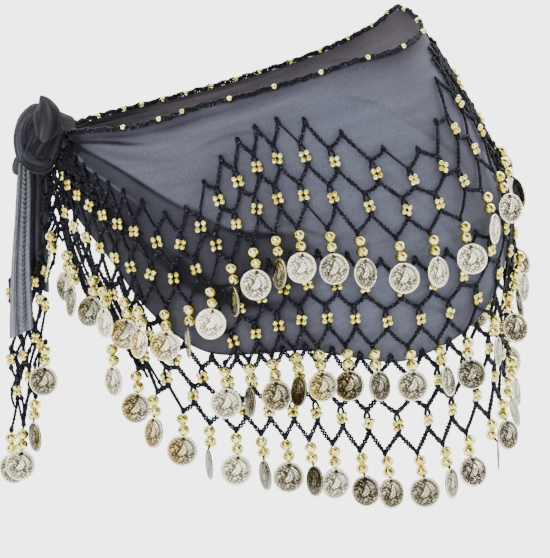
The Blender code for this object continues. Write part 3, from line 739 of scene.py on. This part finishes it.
def stamped_coin():
    """One coin about its hole: rings of places from the middle to the rim on both faces. The face
    rises as a raised rim, a ring of dots, three arcs at one side, a leaf with a vein across the middle,
    and grains between them from two crossing waves. Returns places, quads, how raised each place is,
    and how far left of the middle."""
    around = 48
    radius = np.array([0, 1.1, 2.0, 2.9, 3.8, 4.6, 5.4, 6.2, 7.0, 7.8, 8.5, 9.2, 9.8, 10.3, 10.7,
                       COIN_RADIUS]) * MM
    turn = 2 * np.pi * np.arange(around) / around
    r, a = np.meshgrid(radius, turn, indexing="ij")
    mm = r / MM
    x, z = mm * np.cos(a), mm * np.sin(a)
    rim = np.exp(-((mm - 10.4) / 0.45) ** 2)
    dots = 0.5 * np.exp(-((mm - 9.2) / 0.5) ** 2) * (0.5 + 0.5 * np.cos(24 * a))
    side = np.exp(-((a - 0.9) / 0.75) ** 4)
    from_arcs = np.hypot(x + 1.2, z + 1.6)
    arcs = side * sum(np.exp(-((from_arcs - size) / 0.42) ** 2) for size in (5.4, 7.2, 9.0))
    lengthways, sideways = 0.45 * x + 0.89 * z, 0.89 * x - 0.45 * z
    sideways = sideways + 0.09 * lengthways ** 2 - 0.8
    leaf = np.exp(-((lengthways / 5.2) ** 2 + (sideways / 2.2) ** 2) ** 2)
    leaf -= 0.7 * np.exp(-(sideways / 0.5) ** 2) * (np.abs(lengthways) < 4.4)
    grains = (np.sin(1.9 * x + 1.6 * np.sin(1.1 * z + .5)) * np.sin(2.1 * z + 1.5 * np.sin(0.9 * x)))
    grains = np.where(grains > 0, grains, 0.55 * grains)
    grains *= 0.9 * (1 - leaf.clip(0, 1)) * (1 - side) * np.clip((8.9 - mm) / 0.6, 0, 1)
    leaf = 0.7 * leaf - 0.6 * np.exp(-((np.hypot(lengthways / 5.6, sideways / 2.7) - 1) / 0.16) ** 2)
    slot = np.exp(-((x / 0.9) ** 2 + ((z - 8.7) / 1.1) ** 2) ** 2)
    raised = rim + dots + arcs + leaf + grains - 2 * slot
    bend = 0.5 * MM * (1 - (mm / COIN_RADIUS) ** 2)
    raised = raised.clip(-0.9, 1.2)
    faces = []
    for sign in (1, -1):
        thick = np.where(mm > 10.9, 0.25 * MM, 0.32 * MM + 0.30 * MM * raised)
        faces.append(np.stack([r * np.cos(a), bend + sign * thick, r * np.sin(a)], -1))
    places = np.stack(faces)                      # side, ring, turn, 3
    index = np.arange(2 * len(radius) * around).reshape(2, len(radius), around)
    index[:, 0] = index[:, 0, :1]                 # the middle ring is one place
    nxt = np.roll(index, -1, 2)
    front = np.stack([index[0, :-1], nxt[0, :-1], nxt[0, 1:], index[0, 1:]], -1).reshape(-1, 4)
    rear = np.stack([index[1, :-1], index[1, 1:], nxt[1, 1:], nxt[1, :-1]], -1).reshape(-1, 4)
    edge = np.stack([index[0, -1], nxt[0, -1], nxt[1, -1], index[1, -1]], -1)
    return (places.reshape(-1, 3), np.concatenate([front, rear, edge]),
            np.concatenate([raised, raised]).reshape(-1),
            np.concatenate([x, x]).reshape(-1) / -COIN_RADIUS)


def hanging_mesh(name, places, faces, shades, finish):
    """A mesh of many copies at once, with its spare and doubled places dropped."""
    mesh = bpy.data.meshes.new(name)
    flat = [list(dict.fromkeys(face)) for face in faces.tolist()]
    used = np.unique(np.concatenate([np.asarray(face) for face in flat]))
    again = np.full(len(places), -1)
    again[used] = np.arange(len(used))
    mesh.from_pydata(places[used], [], [[int(again[i]) for i in face] for face in flat])
    for shade, values in shades.items():
        mesh.attributes.new(shade, "FLOAT", "POINT").data.foreach_set("value", values[used])
    mesh.shade_smooth()
    mesh.materials.append(finish)
    return placed(name, mesh)


def stamped_gold():
    """Thin pale gold plating on stamped steel, with painted light in its colour from how raised each place
    is: painted highlight on the raised parts and painted shade, dark grey-brown, in the hollows. A few coins
    are warmer, and small scratches are in the gloss."""
    made, nodes, links, shader = new_finish("stamped_coin")
    raised = nodes.new("ShaderNodeAttribute")
    raised.attribute_name = "raised"
    warm = nodes.new("ShaderNodeAttribute")
    warm.attribute_name = "warmth"
    tint = nodes.new("ShaderNodeMix")
    tint.data_type = "RGBA"
    tint.blend_type = "MULTIPLY"
    tint.inputs["B"].default_value = (.93, .72, .28, 1)
    links.new(warm.outputs["Fac"], tint.inputs["Factor"])
    relief_painted_light = toned(nodes, links, raised.outputs["Fac"], (0, (.045, .038, .022)), (.30, (.17, .152, .10)),
                    (.62, (.46, .42, .29)), (.92, (1.0, .96, .74)))
    links.new(relief_painted_light, tint.inputs["A"])
    links.new(tint.outputs["Result"], shader.inputs["Base Color"])
    place = nodes.new("ShaderNodeTexCoord")
    scratch = noise_on(nodes, links, place.outputs["Object"], 420, 4)
    uneven_metal(nodes, links, shader, scratch, 0.12, 0.34, 0.5, 0.0006)
    return made


coin_metal = stamped_gold()
BEAD_HALVES = np.array([4.45, 4.45, 4.1]) * MM
BEAD_DROPS = (5.6 * MM, 13.4 * MM)      # the two large beads' middles below the foot
BEAD_OUT = 6.0 * MM             # how far they stand off the thread's start
HOLE_DROP = 18.6 * MM
HOLE_OUT = 5.7 * MM             # for a coin that hangs flat, and more for one that is turned
HOLE_TO_MIDDLE = 9.6 * MM


def hang_coins(name, place, columns, foot_of, turns, extra, painted_gleam):
    """Two large beads and a coin below each foot. They hang straight down from the foot, no nearer to
    the body than the foot is, and each coin is turned about its own thread and swings a little."""
    columns = np.asarray(columns, float)
    foot = foot_of(columns)
    root = place(columns, 0.0, foot, -0.8 * MM)
    away = place(columns, 0.0, foot, 9.2 * MM) - root
    away[:, 2] = 0
    away /= np.linalg.norm(away, axis=1, keepdims=True)
    level = np.stack([-away[:, 1], away[:, 0], 0 * foot], -1)
    extra = np.broadcast_to(extra, foot.shape)

    def hung(drop, out):
        at = place(columns, 0.0, foot + drop, -0.8 * MM) + away * (out + extra)[:, None]
        short = ((root - at)[:, :2] * away[:, :2]).sum(1).clip(0)
        at[:, :2] += away[:, :2] * short[:, None]
        return at

    wobble = 0.7 * MM * np.sin(5.1 * columns + len(name))[:, None] * level
    upper = hung(BEAD_DROPS[0], BEAD_OUT + 0 * foot)
    lower = hung(BEAD_DROPS[1], BEAD_OUT + 0 * foot) + wobble
    beads = joined(name + "_beads", [balls(np.concatenate([upper, lower]), BEAD_HALVES, 12, 8)], gold)
    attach(beads, "root")
    hole = hung(HOLE_DROP, HOLE_OUT + COIN_RADIUS * MM * np.abs(np.sin(turns)) * 0.9) + wobble
    swing = np.radians(7) * np.sin(3.3 * columns + 1.1 * len(name))
    down = level * np.sin(swing)[:, None] - np.array([0, 0, 1]) * np.cos(swing)[:, None]
    lift = np.radians(6 + 6 * np.sin(2.1 * columns + 0.7 * len(name)))
    down = down * np.cos(lift)[:, None] + away * np.sin(lift)[:, None]
    across = level * np.cos(turns)[:, None] + away * np.sin(turns)[:, None]
    across -= down * (across * down).sum(1, keepdims=True)
    across /= np.linalg.norm(across, axis=1, keepdims=True)
    face = np.cross(across, down)
    face *= np.sign((face * away).sum(1, keepdims=True))
    middle = hole + down * HOLE_TO_MIDDLE
    unit, quads, raised, leftward = stamped_coin()
    places = (middle[:, None] + unit[None, :, :1] * across[:, None] + unit[None, :, 1:2] * face[:, None]
              - unit[None, :, 2:] * down[:, None])
    shift = (np.arange(len(columns)) * len(unit))[:, None, None]
    warm = np.clip(np.sin(12.9 * columns + 4.1 * len(name)) * 3 - 2.1, 0, 1)
    warmth = warm[:, None] * np.clip(0.6 + 1.1 * leftward, 0, 1)
    # Painted highlight: each coin's colour is raised as a whole, most for coins turned to face the viewer,
    # by its tier's painted gleam and a little from coin to coin. It is added to how raised each place is.
    painted_glint = painted_gleam + 0.20 * np.cos(3 * turns) + 0.1 * np.sin(7.7 * columns)
    coins = hanging_mesh(name + "_coins", places.reshape(-1, 3), (quads[None] + shift).reshape(-1, 4),
                         {"raised": (raised + painted_glint[:, None]).reshape(-1), "warmth": warmth.reshape(-1)},
                         coin_metal)
    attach(coins, "root")
    thread = np.stack([root + away * 2.0 * MM, upper, lower, hole + away * 0.2 * MM,
                       middle - down * 8.6 * MM], 1)
    return thread


JOINT_HALVES = np.array([2.0, 1.7, 2.4]) * MM       # the small knots where stitches meet
SMALL_BEAD_HALVES = np.array([2.25, 2.25, 2.25]) * MM


def crocheted_net(name, place, columns, top_of, foot_of, turns, node, centres=(.33, .70), extra=0.0,
                  cluster=2.75 * MM, thread_size=0.95 * MM, linked=False, painted_gleam=0.1):
    """A whole net: chains of two crossing threads along every stitch, small knots where they meet, a
    square of four beads on every cluster, and what hangs below."""
    first, second, upright, clusters, joints = net_runs(columns, top_of, foot_of, centres, linked)
    t = np.linspace(0, 1, 9)[None, :, None]
    path = first[:, None] + (second - first)[:, None] * t
    sag = 0.9 * MM * np.sin(np.pi * t[..., 0]) * np.sin(7.7 * np.arange(len(first)))[:, None]
    path[..., 2] += np.abs(sag)
    path[..., 1] += 0.5 * sag
    middle = place(path[..., 0], path[..., 1], path[..., 2], path[..., 3])
    across, out = frames_along(middle)
    length = np.linalg.norm(np.diff(middle, axis=1), axis=2).sum(1)
    turns_each = np.where(upright, 1.0, np.maximum(1, np.round(length / STITCH * 2)) / 2)
    swing = np.where(upright, 1.9 * MM, 1.15 * thread_size)[:, None]
    shapes = [ply_tubes(middle, across, out, swing, 0.35 * MM, turns_each, thread_size)]
    joint_at = place(joints[:, 0], joints[:, 1], joints[:, 2], joints[:, 3] + 0.1 * MM)
    shapes.append(balls(joint_at, JOINT_HALVES, 7, 5))
    thread = hang_coins(name, place, columns, foot_of, turns, extra, painted_gleam)
    fine = np.linspace(0, 4, 13)
    spot = fine.astype(int).clip(0, 3)
    line = thread[:, spot] + (thread[:, spot + 1] - thread[:, spot]) * (fine - spot)[None, :, None]
    line_across, line_out = frames_along(line)
    shapes.append(ply_tubes(line, line_across, line_out, 0.45 * MM, 0.45 * MM, 5 + 0 * thread[:, 0, 0],
                            0.6 * MM))
    net = joined(name + "_yarn", shapes, yarn)
    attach(net, "root")
    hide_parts(node)
    number = np.arange(len(clusters))
    turn = np.radians(45) + 0.12 * np.sin(4.3 * number) + 0.4 * (number % 5 == 3)
    spread = cluster * (1 + 0.07 * np.sin(2.9 * number))
    small = []
    for corner in range(4):
        a = turn + corner * np.pi / 2
        small.append(place(clusters[:, 0], clusters[:, 1] + spread * np.cos(a) * 1.08,
                           clusters[:, 2] + spread * np.sin(a), clusters[:, 3]))
    squares = joined(name + "_clusters", [balls(np.concatenate(small), SMALL_BEAD_HALVES, 8, 6)], gold)
    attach(squares, "root")
    return net


def tier(name, node, first, last, words, order, painted_gleam=0.12, thread_size=0.95 * MM, linked=False):
    """A worn tier, from its first to its last column of the table. Every second coin hangs further out
    where the columns crowd."""
    columns = np.arange(first, last + 1)
    return crocheted_net(name, net_place, columns,
                         lambda c: round_size(column_share(c), words + "_top"),
                         lambda c: round_size(column_share(c), words + "_foot"),
                         coin_turn(columns, order), node, painted_gleam=painted_gleam,
                         extra=5.6 * MM * crowding(columns) * (columns % 2),
                         thread_size=thread_size, linked=linked)


# The upper tier's coins get more painted highlight.
upper_net = tier("upper_net", "net_upper", 1, 37, "upper", 0, painted_gleam=0.36)

# Pulled chains
# Where the net's columns crowd, beside the knot and at the other hip, its stitches are pulled together
# into bundles of chains of the same black cotton. They lie across the net, caught in its stitches.
PULLED_OUT = 1.5 * MM
PULLED_THREAD = 0.84 * MM


def pulled_chains(name, starts, ends_at, knots_each):
    """Chains that lie straight on the cloth between pairs of places, given as share and depth in mm."""
    t = np.linspace(0, 1, 33)[None, :, None]
    path = starts[:, None] + (ends_at - starts)[:, None] * t
    path[..., 1] += 2.2 * np.sin(np.pi * t[..., 0]) * np.sin(5.3 * np.arange(len(starts)))[:, None]
    middle = worn(path[..., 0], path[..., 1] * MM, PULLED_OUT)
    across, out = frames_along(middle)
    length = np.linalg.norm(np.diff(middle, axis=1), axis=2).sum(1)
    knots = middle[:, np.linspace(3, 30, knots_each).astype(int)].reshape(-1, 3)
    chains = joined(name, [
        ply_tubes(middle, across, out, 1.1 * MM, 0.35 * MM, np.maximum(1, np.round(length / STITCH)),
                  PULLED_THREAD),
        balls(knots, np.array([1.6, 1.4, 1.9]) * MM, 7, 5)], yarn)
    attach(chains, "root")


pulled_chains("gathered_chains",
              np.array([[.004, 15], [.005, 21], [.006, 27], [.006, 33], [.005, 40], [.004, 47], [.010, 18],
                        [.012, 30], [.020, 22], [.030, 30], [.046, 44], [.060, 50],
                        [.006, 50], [.010, 46], [.014, 52], [.020, 56], [.026, 60], [.032, 66],
                        [.040, 70], [.046, 64], [.054, 78], [.060, 88], [.068, 94], [.076, 104]]),
              np.array([[.046, 19], [.058, 27], [.060, 39], [.050, 46], [.040, 54], [.020, 64], [.066, 30],
                        [.078, 52], [.084, 42], [.096, 56], [.100, 76], [.118, 74],
                        [.034, 88], [.044, 102], [.052, 116], [.060, 130], [.068, 138], [.078, 144],
                        [.084, 148], [.092, 162], [.098, 168], [.104, 176], [.110, 180], [.116, 184]]), 4)
pulled_chains("bundled_chains",
              np.array([[.462, 10], [.474, 8], [.486, 12], [.496, 9], [.506, 14], [.516, 11], [.482, 34],
                        [.494, 44], [.504, 52], [.490, 84], [.500, 92], [.512, 88],
                        [.452, 14], [.458, 40], [.464, 66], [.470, 28], [.480, 58], [.488, 70],
                        [.500, 24], [.512, 40], [.472, 92], [.482, 100], [.520, 22], [.500, 62],
                        [.512, 76], [.460, 8],
                        [.468, 128], [.476, 132], [.484, 138], [.492, 132], [.500, 136], [.508, 130],
                        [.516, 126], [.480, 170], [.490, 174], [.500, 172], [.510, 166]]),
              np.array([[.486, 52], [.494, 66], [.498, 74], [.506, 70], [.514, 80], [.524, 76], [.498, 98],
                        [.504, 106], [.512, 112], [.502, 132], [.506, 138], [.516, 134],
                        [.470, 60], [.474, 88], [.480, 118], [.486, 82], [.492, 104], [.500, 120],
                        [.514, 66], [.524, 88], [.486, 138], [.493, 142], [.532, 60], [.510, 108],
                        [.522, 116], [.478, 44],
                        [.478, 180], [.484, 192], [.492, 198], [.498, 202], [.506, 196], [.512, 190],
                        [.520, 178], [.488, 228], [.496, 234], [.506, 228], [.514, 218]]), 5)

# Middle net tier
# A second, shorter length of the same crocheted cotton net, with the same beads and coins. Its points are
# sewn on lower down, so that its top row shows between the coins of the first.
middle_net = tier("middle_net", "net_middle", 10, 29, "middle", 1)

# Lower net tier
# The third net is sewn along the cloth's hem, and hangs free below it. It is worked in one length; the
# half on the seen side and the half behind are two pieces here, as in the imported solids.
lower_net = tier("lower_net", "net_lower_near", 5, 22, "lower", 2, thread_size=1.15 * MM)
lower_net_behind = tier("lower_net_behind", "net_lower_far", 23, 35, "lower", 3, thread_size=1.15 * MM,
                        linked=True)

# Knot
# The two ends of the cloth are tied once over each other at the hip. The knot is soft bands of the same
# chiffon, folded lengthways as they are pulled through, with a pointed loop that stands up in front.


def along_curve(points, count):
    """Places spread along the smooth curve through a few points: a cubic in the point's number."""
    points = np.asarray(points, float)
    at = np.linspace(0, len(points) - 1, count)
    return np.stack([through(at, np.arange(len(points)), points[:, k]) for k in range(points.shape[1])], -1)


def folded_band(stations, folds, fold_height, shade, facing=(0.25, -1, 0.2), turns=0.0, count=64):
    """A band of cloth drawn through a knot. Stations give its middle line with the half width and half
    thickness there, in mm. Its section is an ellipse whose outline rises and falls in soft lengthways folds,
    and it closes to a rounded tip at both ends. Shade is the band's own painted shade, and more painted
    shade is added in the hollows of its folds."""
    line = along_curve(stations, count) * MM
    middle, wide, thick = line[:, :3], line[:, 3], line[:, 4]
    tangent = np.gradient(middle, axis=0)
    tangent /= np.linalg.norm(tangent, axis=1, keepdims=True)
    out = np.array(facing, float) - tangent * (tangent @ np.array(facing, float))[:, None]
    out /= np.linalg.norm(out, axis=1, keepdims=True)
    across = np.cross(tangent, out)
    around = 88
    a = 2 * np.pi * np.arange(around) / around
    t = np.linspace(0, 1, count)[:, None]
    tip = np.sqrt(np.clip(1 - (2 * t - 1) ** 10, 0, 1))
    wave = ((0.75 + 0.4 * np.sin(a + 4 * t)) * np.cos(folds * a + turns * t + 1.6 * np.sin(2 * a + 5 * t))
            + 0.45 * np.cos((2 * folds + 1) * a - 3 * t + np.sin(6 * t))
            + 0.30 * np.cos((4 * folds - 1) * a + 5 * t))
    swell = 1 + fold_height * MM * wave / np.maximum(wide, thick)[:, None] * tip
    places = (middle[:, None]
              + across[:, None] * (wide[:, None] * np.cos(a) * swell * tip)[..., None]
              + out[:, None] * (thick[:, None] * np.sin(a) * swell * tip)[..., None])
    index = np.arange(count * around).reshape(count, around)
    nxt = np.roll(index, -1, 1)
    quads = np.stack([index[:-1], nxt[:-1], nxt[1:], index[1:]], -1).reshape(-1, 4)
    band_uv = np.stack(np.broadcast_arrays(a * wide.mean(), t * 0.12), -1).reshape(-1, 2)
    # The last value is the painted shade: the band's own, deeper in the hollows of its folds.
    return places.reshape(-1, 3), quads, band_uv, shade + 0.22 - 0.22 * wave.reshape(-1)


def cloth_bodies(name, bands, finish):
    """Several folded bands as one object, with their own flat coordinates, and each band's painted shade,
    deeper in its folds' hollows, as the value that darkens them."""
    points, quads, flat, depth, count = [], [], [], [], 0
    for places, faces, band_uv, band_painted_shade in bands:
        points.append(places)
        quads.append(faces + count)
        flat.append(band_uv)
        depth.append(band_painted_shade)
        count += len(places)
    points, quads, flat = np.concatenate(points), np.concatenate(quads), np.concatenate(flat)
    mesh = bpy.data.meshes.new(name)
    mesh.from_pydata(points, [], quads.tolist())
    mesh.uv_layers.new(name="cut").data.foreach_set("uv", flat[quads].reshape(-1))
    mesh.attributes.new("layers_and_shade", "FLOAT", "POINT").data.foreach_set("value", np.concatenate(depth))
    mesh.shade_smooth()
    mesh.materials.append(finish)
    return placed(name, mesh)


gathered_chiffon = chiffon("gathered_chiffon", (.066, .070, .088), (.006, .006, .009), 1.0)
neck = worn(np.array([.0, .010, .022, .034, .046]), np.array([16, 15, 15, 17, 20]) * MM, 1.2 * MM) / MM
far_neck = worn(np.array([.960, .945, .925, .90]), np.array([3, 5, 7, 9]) * MM, 0.6 * MM) / MM
far_neck_halves = (4.4, 4.4, 4, 1.5)
# The number after each band's fold height is its painted shade: darkest for the far end behind the knot and
# the gathered near end, then the core, and lightest for the band over the left side and the front end's
# start.
knot_bands = [
    # the near end of the cloth, gathered as it comes in
    folded_band(np.column_stack([neck, [9, 14, 13, 10, 4], [5, 4.2, 2.6, 1.6, 0.5]]).tolist(), 9, 0.9, 0.85,
                facing=(-.3, -1, .1), turns=1.5),
    # the far end, which runs behind the knot into the cloth of the hidden side
    folded_band([(-140, -32, -27, 7, 6), (-133, -18, -28, 8, 5), (-128, 0, -30, 7, 3.6),
                 (-125, 18, -32, 5.5, 2.2),
                 *[(*place, half, 1.2) for place, half in zip(far_neck, far_neck_halves)]],
                6, 0.6, 1.05, facing=(-1, -.4, .15), turns=2.0),
    # the core
    folded_band([(-146, -22, -58, 5, 4), (-146, -28, -50, 12, 10), (-141, -31, -39, 13, 12),
                 (-138, -30, -27, 10, 9), (-136, -27, -21, 4, 4)], 7, 0.9, 0.70, turns=3.0),
    # the pointed loop
    folded_band([(-142.5, -42, -41, .8, 1.2), (-140.5, -44, -35, 6.5, 5), (-138.5, -45, -27, 10.2, 6.5),
                 (-138.8, -43, -19, 9.6, 5), (-140.3, -40.5, -12.5, 5.4, 3), (-142.6, -38.5, -8.6, 2.2, 1.5),
                 (-144, -38, -6.6, .5, .6)], 4, 0.42, 0.52, turns=1.2),
    # the band that goes over its left side
    folded_band([(-155, -30, -60, 3, 3), (-158, -29, -50, 5, 5), (-159, -28, -38, 5.5, 5.5),
                 (-156, -28, -26, 5.5, 5), (-149, -29, -18, 5, 4.5), (-142, -29, -16, 3, 3)],
                5, 0.5, 0.22, facing=(-.4, -1, .2), turns=1.6),
    # the lobe below it
    folded_band([(-156, -30, -47, 4, 4), (-151, -33, -53, 8, 7), (-143, -33, -55, 8.5, 7.5),
                 (-136, -31, -49, 4, 4)], 5, 0.5, 0.56, turns=1.6),
    # the front free end's start
    folded_band([(-158, -28, -50, 1.5, 1.2), (-161, -28.5, -55, 3.4, 1.8), (-161.5, -28, -61, 4.2, 1.6),
                 (-160, -27, -65, 2.4, 1.0)], 3, 0.25, -0.05, turns=0.5),
]
knot = cloth_bodies("knot_of_cloth", knot_bands, gathered_chiffon)
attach(knot, "root")
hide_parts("knot")

# Free ends
# The cloth's two ends hang from the knot in lengthways pleats. The front one is lighter and its cloth is
# crinkled into close slanting ribs, and the one behind it is darker and ends inside the hanging net.
PLEATS = 3
CRINKLE_AT = 0.58               # the part of the front end's width where the slanting ribs meet
CRINKLES = 36                   # along its length


def hanging_end(name, top, foot, wide_top, wide_foot, depth, ribs, slant, finish, cut, crinkled=False):
    """A pleated strip: its middle runs straight down with a slow sway, its width opens towards the foot, its
    pleats are a sine across it with smaller ribs on them, and its foot is cut on a slant. Painted shade lies
    in the pleats' hollows, and the strip is darker towards its top. A crinkled one also has sine ribs along
    its length that slant down from a line near its middle, painted lighter and darker in turn as highlight
    and shade, and painted shade as a dark line at one side and a dark edge at the other."""
    down, part = np.meshgrid(np.linspace(0, 1, 210), np.linspace(0, 1, 73), indexing="ij")
    top, foot = np.array(top) * MM, np.array(foot) * MM
    wide = (wide_top + (wide_foot - wide_top) * down ** 0.8) * MM
    x = top[0] + (foot[0] - top[0]) * down + wide * (part - 0.5) * (1 + 0.03 * np.sin(9 * down))
    x += 0.8 * MM * np.sin(5.5 * down + 1)
    turn = 2 * np.pi * PLEATS * part + 0.9 * np.sin(3.2 * down + 2 * part)
    y = top[1] + depth * MM * (0.6 + 0.4 * down) * np.cos(turn)
    y += ribs * MM * np.cos(2 * np.pi * (PLEATS * 3.4) * part + 1.5 * np.sin(14 * down))
    chevron = crinkled * np.sin(2 * np.pi * CRINKLES * down + 20 * np.abs(part - CRINKLE_AT))
    chevron *= np.exp(-((part - CRINKLE_AT) / 0.22) ** 4)
    # Painted shade: a dark line at one side and a dark edge at the other, deeper tone in the pleats' hollows
    # and towards the top, and painted highlight and shade in turn along the slanting ribs.
    edge_shade = crinkled * (0.60 * np.clip((part - 0.90) / 0.04, 0, 1) + 0.5 * np.exp(-(part / 0.05) ** 2))
    pleat_shade = 0.16 - 0.20 * np.cos(turn + np.pi) + 0.35 * (1 - down) ** 3
    y += 0.3 * MM * chevron
    z = top[2] + (foot[2] - top[2]) * down
    z -= slant * MM * (0.5 - part) * down ** 6
    made = wall_mesh(name, np.stack([x, y, z], -1),
                     uv=np.stack([part * cut[0], down * cut[1]], -1),
                     shades={"layers_and_shade": pleat_shade + edge_shade - 0.40 * chevron})
    give_wall(made, 0.5 * MM, 0)
    made.data.materials.append(finish)
    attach(made, "root")
    return made


light_chiffon = chiffon("light_chiffon", (.200, .220, .252), (.012, .013, .019), 0.97, flecks=0.45)
front_end = hanging_end("front_end", (-157, -33, -56), (-159.6, -34, -181), 9, 17, 2.2, 0.45, 8,
                        light_chiffon, (.035, .123), crinkled=True)
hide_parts("tail_front")
back_end = hanging_end("back_end", (-147, -19, -56), (-148, -20, -150), 17, 15, 2.2, 0.3, -5,
                       gathered_chiffon, (.036, .100))
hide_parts("tail_back")

# Net end
# The ends of the crocheted net are tied in with the cloth's. They hang below it in a narrow bundle of
# four columns of unequal length, with the same bead clusters, beads and coins.
END_COLUMNS = np.arange(4)
END_X = np.array([-168, -159, -150, -142.5]) * MM
END_FOOT = np.array([253, 249, 228, 188]) * MM
END_TOP = np.array([132, 130, 128, 126]) * MM
END_FRONT = -24.6 * MM          # the plane of its yarn


def end_place(column, across, down, out):
    """A place on the bundle's front: columns side by side, drawn in to less than two thirds of the
    width that they have on the cloth."""
    x = np.interp(column, END_COLUMNS, END_X) + across * 0.62
    x, down, out = np.broadcast_arrays(x + 0 * down, down + 0 * x, out + 0 * x + 0 * down)
    return np.stack([x, END_FRONT - out, -down], -1)


crocheted_net("end_net", end_place, END_COLUMNS,
              lambda c: np.interp(c, END_COLUMNS, END_TOP),
              lambda c: np.interp(c, END_COLUMNS, END_FOOT),
              np.radians([20, -12, 62, 15]), "tail_net", centres=(.16, .365, .57, .775),
              extra=np.array([0, 9, 2, 0]) * MM, cluster=2.6 * MM, thread_size=1.0 * MM)

# Loose chains of the net end
# Single chains of the same cotton that hang loose from the knot, before the gathered net and the end.
# Each starts and ends at a place across from the origin and down from its level, in mm.
strand = np.linspace(0, 1, 90)[None, :, None]
strand_from = np.array([[-163, 133], [-157, 130], [-150, 128], [-145, 127], [-154, 140], [-160, 150],
                        [-140, 52], [-137, 52], [-135, 49], [-133, 47], [-131, 45],
                        [-143, 54], [-138, 56], [-136, 58], [-134, 50], [-132, 48], [-129, 46]])
strand_to = np.array([[-166, 236], [-161, 244], [-156, 238], [-149, 216], [-152, 196], [-163, 226],
                      [-140, 116], [-135, 108], [-134, 124], [-130, 100], [-128, 92],
                      [-144, 132], [-141, 126], [-138, 140], [-131, 114], [-127, 84], [-125, 78]])
STRANDS_FRONT = -25.2 * MM      # a little before the end's own yarn
strand_at = (strand_from[:, None] + (strand_to - strand_from)[:, None] * strand) * MM
strand_at[..., 0] += 2.0 * MM * np.sin(19 * strand[..., 0] + 2.3 * np.arange(len(strand_from))[:, None])
strand_path = np.stack([strand_at[..., 0], 0 * strand_at[..., 0] + STRANDS_FRONT, -strand_at[..., 1]], -1)
strand_across, strand_out = frames_along(strand_path)
strand_knots = strand_path[:, 6::12].reshape(-1, 3)
strand_stitches = np.full(len(strand_from), 17.0)
strands = joined("end_net_strands", [
    ply_tubes(strand_path, strand_across, strand_out, 1.15 * MM, 0.35 * MM, strand_stitches, 0.85 * MM),
    balls(strand_knots, np.array([1.8, 1.4, 2.0]) * MM, 7, 5)], yarn)
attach(strands, "root")

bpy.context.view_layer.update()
